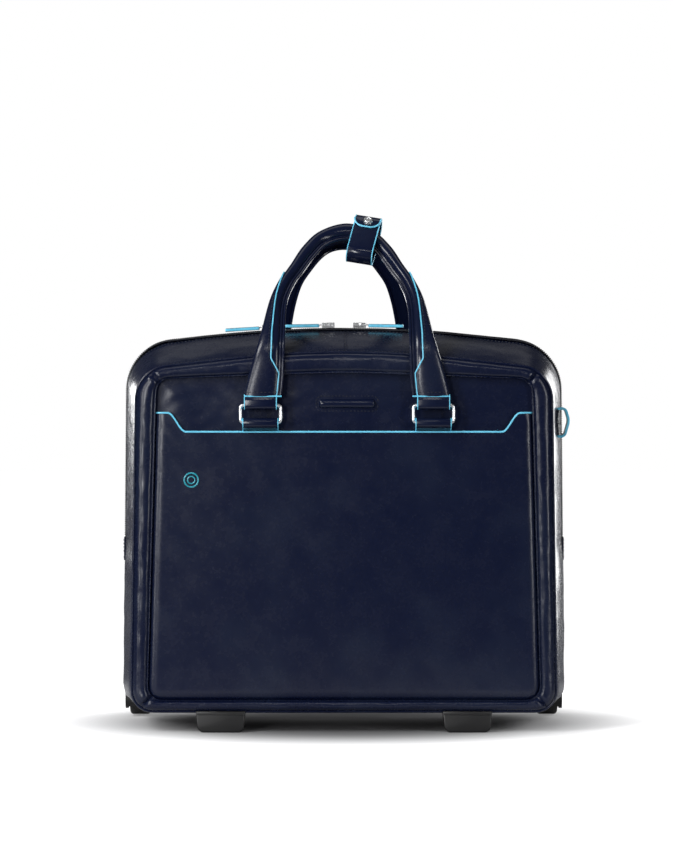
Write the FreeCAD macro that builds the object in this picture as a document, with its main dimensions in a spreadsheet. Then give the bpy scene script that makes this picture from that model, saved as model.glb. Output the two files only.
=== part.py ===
"""Rolling laptop case in leather, with carry handles, a telescopic pull handle and two wheels.

Millimetres. +Z is up, the front of the case faces -Y and +X is to the right of someone who
looks at the front. The origin is on the floor, below the centre of the case.
"""
import FreeCAD, Part
import math
import os
import re

import Sketcher

Vector = FreeCAD.Vector
Rotation = FreeCAD.Rotation

# ---------------------------------------------------------------------------------------------
# Driving dimensions: alias, value
# ---------------------------------------------------------------------------------------------
DIMENSIONS = """
clearance 0.3
mitre_gap 0.4

front_y -92
zip_y -15
rear_zip_y 36
back_y 64
wall 5
floor_z 22
base_radius 20
split_z 193

front_half_width 213
front_top_half_width 207.5
front_corner_z 363.9
front_apex_z 387.3
front_arch_radius 1000
front_corner_radius 45

middle_half_width 224.5
middle_split_half_width 222
middle_top_half_width 220.5
middle_corner_z 387.6
middle_apex_z 411.6
middle_arch_radius 1300
middle_corner_radius 50

back_half_width 218
back_top_half_width 214
back_corner_z 381
back_apex_z 399
back_arch_radius 1000
back_corner_radius 45

frame_depth 7.5
frame_inner_half_width 197
frame_inner_top_half_width 187.5
frame_inner_corner_z 355
frame_inner_apex_z 361.5
frame_inner_floor_z 33
frame_inner_radius 14
piping_size 2.4

panel_thickness 2
board_thickness 2.5
pocket_depth 7
pocket_wall 2.2
pocket_z 302
pocket_ear_z 321
pocket_ear_half_width 178
pocket_mouth_half_width 168
pocket_ear_radius 9
binding_height 2.2

hardware_x 3
bar_length 58
bar_height 11
bar_z 330.5
bar_thickness 2.4
badge_x -153
badge_z 254
badge_radius 8
badge_thickness 1

ring_wire 3.6
ring_width 44
ring_pitch_x 86.5
ring_y -104
ring_low_z 312
ring_high_z 329
ring_corner_radius 2.4
tab_width 35.5
loop_width 33
strap_thickness 2

leg_thickness 7
grip_diameter 17
crown_spare 0.5
leg_foot_z 338
leg_bend_z 388
front_grip_y -8
front_grip_z 503.5
leg_foot_outer 102.5
leg_foot_inner 65.5
leg_neck_z 402
leg_neck_outer 86
leg_neck_inner 64
shoulder_z 450
shoulder_outer 76
crown_outer 38
shoulder_inner_z 442
shoulder_inner 57
crown_inner 26
flap_thickness 1.6
flap_top_z 386
flap_step_z 372

keeper_x 20
keeper_width 28
keeper_wall 2
keeper_slack 0.4
keeper_drop 36
keeper_front_rise 7
keeper_back_rise 22
keeper_tilt 12
keeper_lean 39.6
snap_radius 5.5
snap_height 2

back_ring_y 76
back_ring_low_z 374
back_ring_high_z 392
back_ring_pitch_x 66
back_ring_width 32
back_loop_width 20
back_leg_foot_z 400
back_leg_bend_z 412
back_grip_y 15
back_grip_z 498
back_leg_outer 77
back_leg_inner 56
back_shoulder_z 455
back_shoulder_outer 65
back_crown_outer 30
back_shoulder_inner_z 436
back_shoulder_inner 50
back_crown_inner 20

chain_width 5.8
chain_lift 0.3
chain_height 1.7
chain_gap 0.4
slider_length 13
slider_height 5.4
slider_cap_drop 2.8
bridge_half_width 2
pull_pin_radius 0.6
pull_pin_gap 0.3
slider_x 16
slider_step 1.6
pull_length 36
pull_width 9
pull_thickness 2.2
pull_gap 2
back_slider_x -78
end_tab_width 24
end_tab_height 24
end_tab_thickness 2

loop_y -56
loop_length 33
loop_reach 7
loop_low_z 296
loop_high_z 325

tray_half_width 194
tray_front_y -84
tray_thickness 4
divider_y 24
divider_thickness 4
divider_half_width 205
divider_top_z 350
sleeve_y 32
sleeve_wall 3
sleeve_half_width 195
sleeve_top_z 305
sleeve_floor_z 34
sleeve_strap_width 50

back_panel_thickness 4
tube_pitch_x 75
tube_y 93
tube_width 20
tube_depth 13
tube_wall 1
tube_gap 0.5
tube_foot_z 44
tube_top_z 340
tube_corner_radius 4
bezel_height 10
bezel_half_width 97
cover_wall 2.5
cover_foot_z 52
grip_half_width 85
grip_depth 24
grip_height 30
grip_bar_height 21
grip_leg_width 24
grip_gap 1
button_length 46
button_width 12
button_rise 2.5
button_seat 8
rod_radius 1.6
collar_height 6

wheel_radius 30
wheel_width 21
wheel_x 213.5
wheel_y 75
hub_radius 20
axle_radius 3
axle_gap 0.05
cheek_thickness 3
wheel_side_gap 0.7
wheel_well_gap 3.5
housing_front_y 38
housing_top_z 72
housing_back_y 106
housing_foot_z 9

foot_x 124
foot_top_width 50
foot_floor_width 45
foot_front_y -97
foot_depth 25
foot_radius 7
screw_radius 2
screw_head_radius 3.6
"""

doc = FreeCAD.newDocument("rolling_laptop_case")
sheet = doc.addObject("Spreadsheet::Sheet", "Sizes")
VALUES = {}
for row, line in enumerate(filter(None, DIMENSIONS.splitlines()), start=1):
    alias, text = line.split()
    sheet.set(f"A{row}", text)
    sheet.setAlias(f"A{row}", alias)
    VALUES[alias] = float(text)
doc.recompute()

NODES = []


# ---------------------------------------------------------------------------------------------
# Helpers: expressions, sketches and simple solids
# ---------------------------------------------------------------------------------------------
def bound(expression):
    """The expression with every alias written as a reference to the sheet."""
    return re.sub(r"[a-z_]\w*", lambda word: f"Sizes.{word[0]}" if word[0] in VALUES else word[0],
                  str(expression))


def number(expression):
    """The value that the expression has now."""
    value = sheet.evalExpression(bound(expression).replace("Sizes.", ""))
    return float(getattr(value, "Value", value))


def tie(item, prop, expression):
    """Bind one property of an object to the sheet."""
    item.setExpression(prop, bound(expression))


def place(item, x="0", y="0", z="0", rotation=None):
    """Put an object at a bound place, turned by a fixed rotation."""
    if rotation:
        item.Placement = FreeCAD.Placement(Vector(), rotation)
    for axis, expression in zip("xyz", (x, y, z)):
        tie(item, f".Placement.Base.{axis}", expression)
    return item


def node(item, label):
    """Name an object as a sub-part that gets a file of its own."""
    item.Label = label
    NODES.append(item)
    return item


def box(x, y, z):
    """A block between bound limits, each given as (low, high)."""
    item = doc.addObject("Part::Box", "block")
    for side, (low, high) in zip(("Length", "Width", "Height"), (x, y, z)):
        tie(item, side, f"({high}) - ({low})")
    return place(item, x[0], y[0], z[0])


def rod(axis, radius, start, end, across, up):
    """A round bar along X, Y or Z. across and up are its place on the other two axes, in order."""
    item = doc.addObject("Part::Cylinder", "round_bar")
    tie(item, "Radius", radius)
    tie(item, "Height", f"({end}) - ({start})")
    if axis == "X":
        return place(item, start, across, up, Rotation(Vector(0, 1, 0), 90))
    if axis == "Y":
        return place(item, across, start, up, Rotation(Vector(1, 0, 0), -90))
    return place(item, across, up, start)


def cut(base, *tools):
    """The base without each tool."""
    for tool in tools:
        item = doc.addObject("Part::Cut", "cut")
        item.Base, item.Tool = base, tool
        base = item
    return base


def fuse(*items):
    """One solid from several that touch or cross."""
    item = doc.addObject("Part::MultiFuse", "fused")
    item.Shapes = list(items)
    item.Refine = True
    return item


def common(first, second):
    """What two solids share."""
    item = doc.addObject("Part::MultiCommon", "shared")
    item.Shapes = [first, second]
    return item


def group(*items):
    """Several separate solids in one sub-part."""
    item = doc.addObject("Part::Compound", "group")
    item.Links = list(items)
    return item


def rounded(item, radius, keep):
    """Round the edges that keep(edge) picks."""
    doc.recompute()
    fillet = doc.addObject("Part::Fillet", "rounded")
    fillet.Base = item
    size = number(radius)
    fillet.Edges = [(index, size, size) for index, edge in enumerate(item.Shape.Edges, start=1)
                    if keep(edge)]
    return fillet


def along(axis):
    """A test for straight edges that run along one axis."""
    direction = {"X": Vector(1, 0, 0), "Y": Vector(0, 1, 0), "Z": Vector(0, 0, 1)}[axis]

    def test(edge):
        if not isinstance(edge.Curve, Part.Line):
            return False
        return abs(abs(edge.tangentAt(edge.FirstParameter).dot(direction)) - 1) < 1e-6
    return test


def corner_arc(before, corner, after, radius):
    """Where an arc of this radius leaves both runs of a corner: start, end, centre and turn."""
    to_before = (before - corner).normalize()
    to_after = (after - corner).normalize()
    half = to_before.getAngle(to_after) / 2
    reach = radius / math.tan(half)
    centre = corner + (to_before + to_after).normalize() * (radius / math.sin(half))
    left_turn = to_before.cross(to_after).z < 0
    return corner + to_before * reach, corner + to_after * reach, centre, left_turn


def outline(body, plane, offset, corners):
    """A closed outline of straight runs, on a plane of the body, set off along its normal.

    Each corner is (across, up) or (across, up, radius), and each of these is bound to the sheet.
    """
    sketch = body.newObject("Sketcher::SketchObject", "outline")
    support = [item for item in body.Origin.OriginFeatures if item.Role == f"{plane}_Plane"][0]
    sketch.AttachmentSupport = (support, [""])
    sketch.MapMode = "FlatFace"
    tie(sketch, ".AttachmentOffset.Base.z", offset)
    points = [Vector(number(corner[0]), number(corner[1]), 0) for corner in corners]
    radii = [number(corner[2]) if len(corner) > 2 else 0 for corner in corners]
    count = len(points)
    arcs = [corner_arc(points[i - 1], points[i], points[(i + 1) % count], radii[i]) if radii[i]
            else (points[i], points[i], None, None) for i in range(count)]
    runs = [sketch.addGeometry(Part.LineSegment(arcs[i][1], arcs[(i + 1) % count][0]))
            for i in range(count)]
    for i, corner in enumerate(corners):
        run_in, run_out = runs[i - 1], runs[i]
        if radii[i]:
            start, end, centre, left_turn = arcs[i]
            first, last = (start, end) if left_turn else (end, start)
            angles = [math.atan2(p.y - centre.y, p.x - centre.x) for p in (first, last)]
            circle = Part.Circle(centre, Vector(0, 0, 1), radii[i])
            arc = sketch.addGeometry(Part.ArcOfCircle(circle, *angles))
            mark = sketch.addGeometry(Part.Point(points[i]), True)
            ends = (1, 2) if left_turn else (2, 1)
            sketch.addConstraint([
                Sketcher.Constraint("Tangent", run_in, 2, arc, ends[0]),
                Sketcher.Constraint("Tangent", arc, ends[1], run_out, 1),
                Sketcher.Constraint("PointOnObject", mark, 1, run_in),
                Sketcher.Constraint("PointOnObject", mark, 1, run_out)])
            index = sketch.addConstraint(Sketcher.Constraint("Radius", arc, radii[i]))
            tie(sketch, f"Constraints[{index}]", corner[2])
            target = (mark, 1)
        else:
            sketch.addConstraint(Sketcher.Constraint("Coincident", run_in, 2, run_out, 1))
            target = (run_out, 1)
        for kind, value, expression in (("DistanceX", points[i].x, corner[0]),
                                        ("DistanceY", points[i].y, corner[1])):
            index = sketch.addConstraint(Sketcher.Constraint(kind, -1, 1, *target, value))
            tie(sketch, f"Constraints[{index}]", expression)
    return sketch


def new_body(name="body"):
    """An empty body."""
    return doc.addObject("PartDesign::Body", name)


def prism(plane, corners, start, end):
    """An outline drawn on XY, XZ or YZ and extruded from start to end along the third axis."""
    body = new_body()
    pad = body.newObject("PartDesign::Pad", "pad")
    pad.Profile = outline(body, plane, f"-({end})" if plane == "XZ" else start, corners)
    tie(pad, "Length", f"({end}) - ({start})")
    return body


def loft(sections):
    """A skin over outlines on planes of constant Y. sections is a list of (y, corners)."""
    body = new_body()
    sketches = [outline(body, "XZ", f"-({y})", corners) for y, corners in sections]
    skin = body.newObject("PartDesign::AdditiveLoft", "skin")
    skin.Profile = sketches[0]
    skin.Sections = sketches[1:]
    skin.Ruled = True
    return body


def both_sides(corners, centre="0"):
    """The corners of the +X half, listed outwards, followed by their mirror image."""
    right = [(f"{centre} + {c[0]}",) + tuple(c[1:]) for c in corners]
    left = [(f"{centre} - ({c[0]})",) + tuple(c[1:]) for c in reversed(corners)]
    return right + left


def band(corners, wall, apex=None, apex_wall=None, centre="0"):
    """An arch of even wall, open below, from the +X half of its outer line, listed downwards.

    Each corner is (half width, height, radius or None). apex is (height, radius) of a corner on
    the centre line.
    """
    def line(inset, side):
        points = []
        for index, (across, up, radius) in enumerate(corners):
            drop = inset if index < len(corners) - 1 else "0"
            entry = (f"{centre} {side} ({across} - ({inset}))", f"{up} - ({drop})")
            points.append(entry + ((f"{radius} - ({inset})",) if radius else ()))
        return points

    def top(inset):
        return [(centre, f"{apex[0]} - ({inset})", f"{apex[1]}")] if apex else []

    right, left = line("0", "+"), line("0", "-")
    right_in, left_in = line(wall, "+"), line(wall, "-")
    return left[::-1] + top("0") + right + right_in[::-1] + top(wall) + left_in


# ---------------------------------------------------------------------------------------------
# The case: gussets, boards and linings
# ---------------------------------------------------------------------------------------------
def arch(kind, foot_z, side, lift="0"):
    """The outer line of one section of the case above foot_z, as band() takes it."""
    corner = (f"{kind}_top_half_width + {lift}", f"{kind}_corner_z + {lift}",
              f"{kind}_corner_radius + {lift}")
    return ([corner, (f"{side} + {lift}", foot_z, None)],
            (f"{kind}_apex_z + {lift}", f"{kind}_arch_radius + {lift}"))


def gusset_section(kind, side, wall="wall", lift="0"):
    """The closed outline of a gusset above the split, at one section of the case."""
    corners, apex = arch(kind, "split_z", side, lift)
    return band(corners, wall, apex)


FRONT_SPLIT = ("front_half_width + (front_top_half_width - front_half_width)"
               " * (split_z - floor_z) / (front_corner_z - floor_z)")
BACK_SPLIT = ("back_half_width + (back_top_half_width - back_half_width)"
              " * (split_z - floor_z) / (back_corner_z - floor_z)")

node(loft([("front_y", gusset_section("front", FRONT_SPLIT)),
           ("zip_y - 2", gusset_section("middle", "middle_split_half_width"))]), "front_gusset")

node(loft([("zip_y + 2", gusset_section("middle", "middle_split_half_width")),
           ("rear_zip_y", gusset_section("middle", "middle_split_half_width")),
           ("back_y", gusset_section("back", BACK_SPLIT))]), "rear_gusset")


def tub_section(top, foot):
    """The closed outline of the lower gusset, a tub open at the top, at one section."""
    def side(inset, sign):
        return [(f"{sign} ({top} - ({inset}))", "split_z - clearance"),
                (f"{sign} ({foot} - ({inset}))", f"floor_z + {inset}", f"base_radius - ({inset})")]
    return (side("0", "-") + side("0", "+")[::-1] + side("wall", "+") + side("wall", "-")[::-1])


lower_gusset = loft([("front_y + clearance", tub_section(FRONT_SPLIT, "front_half_width")),
                     ("zip_y", tub_section("middle_split_half_width", "middle_half_width")),
                     ("rear_zip_y", tub_section("middle_split_half_width", "middle_half_width")),
                     ("back_y", tub_section(BACK_SPLIT, "back_half_width"))])
HOUSING_INNER = "wheel_x - wheel_width / 2 - wheel_side_gap - cheek_thickness"
HOUSING_OUTER = "wheel_x + wheel_width / 2 + wheel_side_gap + cheek_thickness"


def wheel_bay(side):
    """The space that a wheel housing takes out of the lower back corner."""
    inner, outer = f"{HOUSING_INNER} - clearance", f"{HOUSING_OUTER} + clearance"
    x = (inner, outer) if side > 0 else (f"-({outer})", f"-({inner})")
    return box(x, ("housing_front_y - clearance", "housing_back_y + clearance"),
               ("0", "housing_top_z + clearance"))


TRAY_TOP = "floor_z + wall + tray_thickness"
FOOT_CENTRE_Y = "(foot_front_y + foot_depth / 2)"


def screw_hole(side):
    """The hole for a foot's screw through the tub and the tray."""
    return rod("Z", "screw_radius", "floor_z - 1", f"{TRAY_TOP} + 1", f"{side} * foot_x",
               FOOT_CENTRE_Y)


node(cut(lower_gusset, wheel_bay(-1), wheel_bay(1), screw_hole(-1), screw_hole(1)),
     "lower_gusset")

BACK_FACE = "back_y + back_panel_thickness"
back_outline = (both_sides([("back_top_half_width", "back_corner_z", "back_corner_radius"),
                            ("back_half_width", "floor_z", "base_radius")])
                + [("0", "back_apex_z", "back_arch_radius")])
back_board = prism("XZ", back_outline, "back_y", BACK_FACE)
node(cut(back_board, wheel_bay(-1), wheel_bay(1)), "back_panel")

tray = box(("-tray_half_width", "tray_half_width"), ("tray_front_y", "back_y"),
           ("floor_z + wall", "floor_z + wall + tray_thickness"))
node(cut(rounded(tray, "base_radius - wall", along("Z")), screw_hole(-1), screw_hole(1)),
     "chassis_tray")
node(box(("-divider_half_width", "divider_half_width"),
         ("divider_y", "divider_y + divider_thickness"), (TRAY_TOP, "divider_top_z")),
     "file_divider")

sleeve = box(("-sleeve_half_width", "sleeve_half_width"), ("sleeve_y", "back_y"),
             ("sleeve_floor_z", "sleeve_top_z"))
sleeve_space = box(("-sleeve_half_width + sleeve_wall", "sleeve_half_width - sleeve_wall"),
                   ("sleeve_y + sleeve_wall", "back_y + 1"),
                   ("sleeve_floor_z + sleeve_wall", "sleeve_top_z + 1"))
node(cut(sleeve, sleeve_space), "laptop_sleeve")

STRAP_TOP = "sleeve_top_z + 12"
strap_over = box(("-sleeve_strap_width / 2", "sleeve_strap_width / 2"),
                 ("sleeve_y - clearance - strap_thickness", "back_y"),
                 (f"{STRAP_TOP} - strap_thickness", STRAP_TOP))
strap_down = box(("-sleeve_strap_width / 2", "sleeve_strap_width / 2"),
                 ("sleeve_y - clearance - strap_thickness", "sleeve_y - clearance"),
                 ("sleeve_top_z - sleeve_strap_width", STRAP_TOP))
node(fuse(strap_over, strap_down), "sleeve_strap")


# ---------------------------------------------------------------------------------------------
# The front: board, panel, mitred frame, piping and pocket
# ---------------------------------------------------------------------------------------------
def front_outline(lift, foot_lift="0"):
    """The outer line of the front, moved outwards by lift, with its foot raised by foot_lift."""
    return (both_sides([(f"front_top_half_width + {lift}", f"front_corner_z + {lift}",
                         f"front_corner_radius + {lift}"),
                        (f"front_half_width + {lift}", f"floor_z + {foot_lift}",
                         f"base_radius + {lift}")])
            + [("0", f"front_apex_z + {lift}", "front_arch_radius")])


def frame_opening(lift):
    """The inner line of the frame, moved outwards by lift."""
    return (both_sides([(f"frame_inner_top_half_width + {lift}", f"frame_inner_corner_z + {lift}",
                         f"frame_inner_radius + {lift}"),
                        (f"frame_inner_half_width + {lift}", f"frame_inner_floor_z - ({lift})",
                         f"frame_inner_radius + {lift}")])
            + [("0", f"frame_inner_apex_z + {lift}", "front_arch_radius")])


FRAME_FRONT = "front_y - clearance - frame_depth"
FRAME_BACK = "front_y - clearance"
PANEL_FRONT = "front_y"
frame_ring = cut(prism("XZ", front_outline("0"), FRAME_FRONT, FRAME_BACK),
                 prism("XZ", frame_opening("0"), f"{FRAME_FRONT} - 1", f"{FRAME_BACK} + 1"))


def mitre(side, corner_x, corner_z, up):
    """A thin blade that parts the frame from its opening's corner outwards, at 45 degrees."""
    blade = doc.addObject("Part::Box", "blade")
    tie(blade, "Length", "mitre_gap")
    tie(blade, "Width", "frame_depth + 4")
    tie(blade, "Height", "base_radius + front_corner_radius")
    place(blade, f"{side} * ({corner_x})", f"{FRAME_FRONT} - 2", corner_z,
          Rotation(Vector(0, 1, 0), side * (45 if up else 135)))
    return blade


blades = [mitre(side, *spot) for side in (-1, 1)
          for spot in (("frame_inner_top_half_width - 10", "frame_inner_corner_z - 10", True),
                       ("frame_inner_half_width - 12", "frame_inner_floor_z + 12", False))]
node(cut(frame_ring, *blades), "front_frame")

piping_ring = cut(prism("XZ", front_outline("piping_size"), f"{FRAME_BACK} - piping_size",
                        FRAME_BACK),
                  prism("XZ", front_outline("clearance"), f"{FRAME_BACK} - piping_size - 1",
                        f"{FRAME_BACK} + 1"),
                  # It starts where the sides rise from the lower corners, above the feet.
                  box(("-middle_half_width", "middle_half_width"),
                      (f"{FRAME_BACK} - piping_size - 1", f"{FRAME_BACK} + 1"),
                      ("0", "floor_z + base_radius")))
node(piping_ring, "edge_piping")

board_outline = front_outline("(-wall - 2 * clearance)", "wall + 2 * clearance")
node(prism("XZ", board_outline, PANEL_FRONT, f"{PANEL_FRONT} + panel_thickness"), "front_panel")
BOARD_BACK = f"{PANEL_FRONT} + panel_thickness + board_thickness"
node(prism("XZ", board_outline, f"{PANEL_FRONT} + panel_thickness", BOARD_BACK), "front_board")


def pocket_top(lift, inset):
    """The top line of the pocket, right to left: an ear at each side and a low straight mouth."""
    ear = (f"pocket_ear_half_width + {lift} / 2", f"pocket_ear_z + {lift}", "pocket_ear_radius")
    mouth = (f"pocket_mouth_half_width + {lift} / 2", f"pocket_z + {lift}", "pocket_ear_radius")
    edge = (f"{POCKET_TOP_SIDE} - ({inset})", f"pocket_ear_z + {lift}")
    right = [edge, ear, mouth]
    return right + [(f"-({c[0]})",) + c[1:] for c in right[::-1]]


POCKET_TOP_SIDE = ("frame_inner_half_width - clearance + (frame_inner_top_half_width"
                   " - frame_inner_half_width) * (pocket_ear_z - frame_inner_floor_z)"
                   " / (frame_inner_corner_z - frame_inner_floor_z)")
POCKET_BACK = "front_y"
POCKET_FRONT = f"{POCKET_BACK} - pocket_depth"
pocket_foot = ("frame_inner_half_width - clearance", "frame_inner_floor_z + clearance",
               "frame_inner_radius")
pocket_outline = pocket_top("0", "0") + [(f"-({pocket_foot[0]})",) + pocket_foot[1:], pocket_foot]
pocket_inner_foot = (f"{pocket_foot[0]} - wall", f"{pocket_foot[1]} + wall",
                     "frame_inner_radius - wall")
pocket_space = ([(f"{POCKET_TOP_SIDE} - wall", "pocket_ear_z + 1"),
                 (f"-({POCKET_TOP_SIDE} - wall)", "pocket_ear_z + 1"),
                 (f"-({pocket_inner_foot[0]})",) + pocket_inner_foot[1:], pocket_inner_foot])
node(cut(prism("XZ", pocket_outline, POCKET_FRONT, POCKET_BACK),
         prism("XZ", pocket_space, f"{POCKET_FRONT} + pocket_wall", f"{POCKET_BACK} + 1")),
     "front_pocket")
node(prism("XZ", pocket_top("binding_height", "0") + pocket_top("0", "0")[::-1],
           POCKET_FRONT, f"{POCKET_FRONT} + pocket_wall"), "pocket_binding")

bar = box(("hardware_x - bar_length / 2", "hardware_x + bar_length / 2"),
          (f"{PANEL_FRONT} - bar_thickness", PANEL_FRONT),
          ("bar_z - bar_height / 2", "bar_z + bar_height / 2"))
node(rounded(bar, "bar_height / 4", along("Y")), "embossed_bar")
node(rod("Y", "badge_radius", f"{POCKET_FRONT} - badge_thickness", POCKET_FRONT, "badge_x",
         "badge_z"), "pocket_badge")


# ---------------------------------------------------------------------------------------------
# Rings, tabs and the two carry handles
# ---------------------------------------------------------------------------------------------
def wire_ring(x, y, low_z, high_z, width):
    """A closed ring of round wire in an upright plane, through two bars at low_z and high_z."""
    body = new_body("ring")
    half = f"({width} - ring_wire) / 2"
    path = outline(body, "XZ", "0", [(half, f"({high_z}) - ({low_z})", "ring_corner_radius"),
                                     (half, "0", "ring_corner_radius"),
                                     (f"-({half})", "0", "ring_corner_radius"),
                                     (f"-({half})", f"({high_z}) - ({low_z})",
                                      "ring_corner_radius")])
    section = body.newObject("Sketcher::SketchObject", "section")
    support = [item for item in body.Origin.OriginFeatures if item.Role == "YZ_Plane"][0]
    section.AttachmentSupport = (support, [""])
    section.MapMode = "FlatFace"
    circle = section.addGeometry(Part.Circle(Vector(0, 0, 0), Vector(0, 0, 1),
                                             number("ring_wire / 2")))
    section.addConstraint(Sketcher.Constraint("Coincident", circle, 3, -1, 1))
    index = section.addConstraint(Sketcher.Constraint("Radius", circle, number("ring_wire / 2")))
    tie(section, f"Constraints[{index}]", "ring_wire / 2")
    pipe = body.newObject("PartDesign::AdditivePipe", "wire")
    pipe.Profile = section
    pipe.Spine = (path, [])
    return place(body, x, y, low_z)


def bar_eye(width, x, y, z):
    """A strap eye: a sleeve of strap round one bar of a ring."""
    sleeve_outer = rod("X", "ring_wire / 2 + clearance + strap_thickness",
                       f"{x} - {width} / 2", f"{x} + {width} / 2", y, z)
    return sleeve_outer


def eye_bore(width, x, y, z):
    """The running bore of a strap eye."""
    return rod("X", "ring_wire / 2 + clearance", f"{x} - {width} / 2 - 1",
               f"{x} + {width} / 2 + 1", y, z)


def strip(corners, x, width):
    """A strap profile drawn in the YZ plane and as wide as width, centred on x."""
    return prism("YZ", corners, f"{x} - {width} / 2", f"{x} + {width} / 2")


EYE = "(ring_wire / 2 + clearance + strap_thickness)"


def front_tab(side):
    """A strap from inside the pocket's mouth up and round the lower bar of a front ring."""
    x = f"hardware_x + {side} * ring_pitch_x"
    low = "front_y - clearance"
    tail = strip([(low, "pocket_z - 24"), (low, "pocket_z + 8"),
                  ("ring_y + 1.5", f"ring_low_z + {EYE} - clearance"), ("ring_y", "ring_low_z"),
                  (f"{low} - strap_thickness", "pocket_z + 4.5"),
                  (f"{low} - strap_thickness", "pocket_z - 24")], x, "tab_width")
    whole = fuse(tail, bar_eye("tab_width", x, "ring_y", "ring_low_z"))
    return cut(whole, eye_bore("tab_width", x, "ring_y", "ring_low_z"))


node(group(front_tab(-1), front_tab(1)), "front_ring_tabs")
node(group(*[wire_ring(f"hardware_x + {side} * ring_pitch_x", "ring_y", "ring_low_z",
                       "ring_high_z", "ring_width") for side in (-1, 1)]), "front_rings")


def handle_eye(side, centre, pitch, y, bar_z, foot_z, width):
    """The narrow strap that joins a handle leg to the upper bar of a ring."""
    x = f"{centre} + {side} * {pitch}"
    neck = box((f"{x} - {width} / 2", f"{x} + {width} / 2"),
               (f"{y} - strap_thickness", f"{y} + strap_thickness"),
               (f"{bar_z} + ring_wire / 2 + clearance", foot_z))
    whole = fuse(neck, bar_eye(width, x, y, bar_z))
    return cut(whole, eye_bore(width, x, y, bar_z))


node(group(*[handle_eye(side, "hardware_x", "ring_pitch_x", "ring_y", "ring_high_z",
                        "leg_foot_z", "loop_width") for side in (-1, 1)]), "front_handle_eyes")


def lean(grip_y, grip_z, hinge_y, bend_z, part):
    """The unit direction from the bend of the legs to the grip, as an expression."""
    run, rise = f"(({grip_y}) - ({hinge_y}))", f"(({grip_z}) - ({bend_z}))"
    length = f"sqrt({run} * {run} + {rise} * {rise})"
    return f"({run} / {length})" if part == "y" else f"({rise} / {length})"


def side_profile(grip_y, grip_z, hinge_y, foot_z, bend_z):
    """The bent strip of a handle seen from the side, with a round end as thick as the grip."""
    along_y = lean(grip_y, grip_z, hinge_y, bend_z, "y")
    along_z = lean(grip_y, grip_z, hinge_y, bend_z, "z")
    half, leg = "grip_diameter / 2", "leg_thickness / 2"

    def end(side):
        return (f"({grip_y}) + {half} * ({along_y} + {side} * {along_z})",
                f"({grip_z}) + {half} * ({along_z} - {side} * {along_y})",
                f"{half} - 0.1")
    return [(f"{hinge_y} - {leg}", foot_z), (f"{hinge_y} - {leg}", f"{bend_z} + 1", "25"),
            end(-1), end(1), (f"{hinge_y} + {leg}", f"{bend_z} - 1", "15"),
            (f"{hinge_y} + {leg}", foot_z)]


def handle(centre, outer, inner, profile):
    """A handle: its outline from the front, shared with its bent strip from the side."""
    left_out = [(f"{centre} - {c[0]}",) + c[1:] for c in outer]
    right_out = [(f"{centre} + {c[0]}",) + c[1:] for c in outer[::-1]]
    right_in = [(f"{centre} + {c[0]}",) + c[1:] for c in inner]
    left_in = [(f"{centre} - {c[0]}",) + c[1:] for c in inner[::-1]]
    face = prism("XZ", left_out + right_out + right_in + left_in, "ring_y - 20",
                 "back_ring_y + 20")
    reach = f"{outer[0][0]} + 10"
    return common(face, prism("YZ", profile, f"{centre} - ({reach})", f"{centre} + {reach}"))


CROWN = "front_grip_z + grip_diameter / 2 + crown_spare"
front_outer = [("leg_foot_outer", "leg_foot_z"), ("leg_neck_outer", "leg_neck_z", "90"),
               ("shoulder_outer", "shoulder_z", "50"), ("crown_outer", CROWN, "48")]
front_inner = [("leg_foot_inner", "leg_foot_z"), ("leg_neck_inner", "leg_neck_z", "90"),
               ("shoulder_inner", "shoulder_inner_z", "40"),
               ("crown_inner", f"{CROWN} - grip_diameter", "34")]
front_profile = side_profile("front_grip_y", "front_grip_z", "ring_y", "leg_foot_z", "leg_bend_z")
node(handle("hardware_x", front_outer, front_inner, front_profile), "front_handle")


def leg_flap(side):
    """The edged leather flap sewn on the face of one leg."""
    def at(across):
        return f"hardware_x + {side} * ({across})"
    edge = "flap_thickness"
    corners = [(at("leg_foot_inner + 4"), "leg_foot_z"),
               (at("leg_foot_inner + 4"), "flap_step_z - 2"),
               (at("leg_neck_inner + 14"), "flap_top_z"),
               (at("leg_neck_outer + 2"), "flap_top_z"),
               (at("leg_foot_outer - 4"), "leg_foot_z")]
    return prism("XZ", corners, f"ring_y - leg_thickness / 2 - {edge}",
                 "ring_y - leg_thickness / 2")


node(group(leg_flap(-1), leg_flap(1)), "front_handle_flaps")

# The keeper strap hangs round the front grip. It is drawn upright round the grip's axis, then
# leaned with the handle and tilted along the grip's curve.
GRIP_RADIUS = "(grip_diameter / 2 + keeper_slack)"
keeper_inner = [(f"-{GRIP_RADIUS}", "keeper_front_rise"),
                (f"-{GRIP_RADIUS}", "-keeper_drop", f"{GRIP_RADIUS} - 1"),
                (GRIP_RADIUS, "-keeper_drop", f"{GRIP_RADIUS} - 1"),
                (GRIP_RADIUS, "keeper_back_rise")]
keeper_outer = [(f"{GRIP_RADIUS} + keeper_wall", "keeper_back_rise"),
                (f"{GRIP_RADIUS} + keeper_wall", "-keeper_drop - keeper_wall",
                 f"{GRIP_RADIUS} - 1 + keeper_wall"),
                (f"-{GRIP_RADIUS} - keeper_wall", "-keeper_drop - keeper_wall",
                 f"{GRIP_RADIUS} - 1 + keeper_wall"),
                (f"-{GRIP_RADIUS} - keeper_wall", "keeper_front_rise")]
keeper_turn = Rotation(Vector(1, 0, 0), -VALUES["keeper_lean"]).multiply(
    Rotation(Vector(0, 1, 0), VALUES["keeper_tilt"]))
keeper = prism("YZ", keeper_inner + keeper_outer, "-keeper_width / 2", "keeper_width / 2")
node(place(keeper, "hardware_x + keeper_x", "front_grip_y", "front_grip_z", keeper_turn),
     "keeper_strap")
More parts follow.
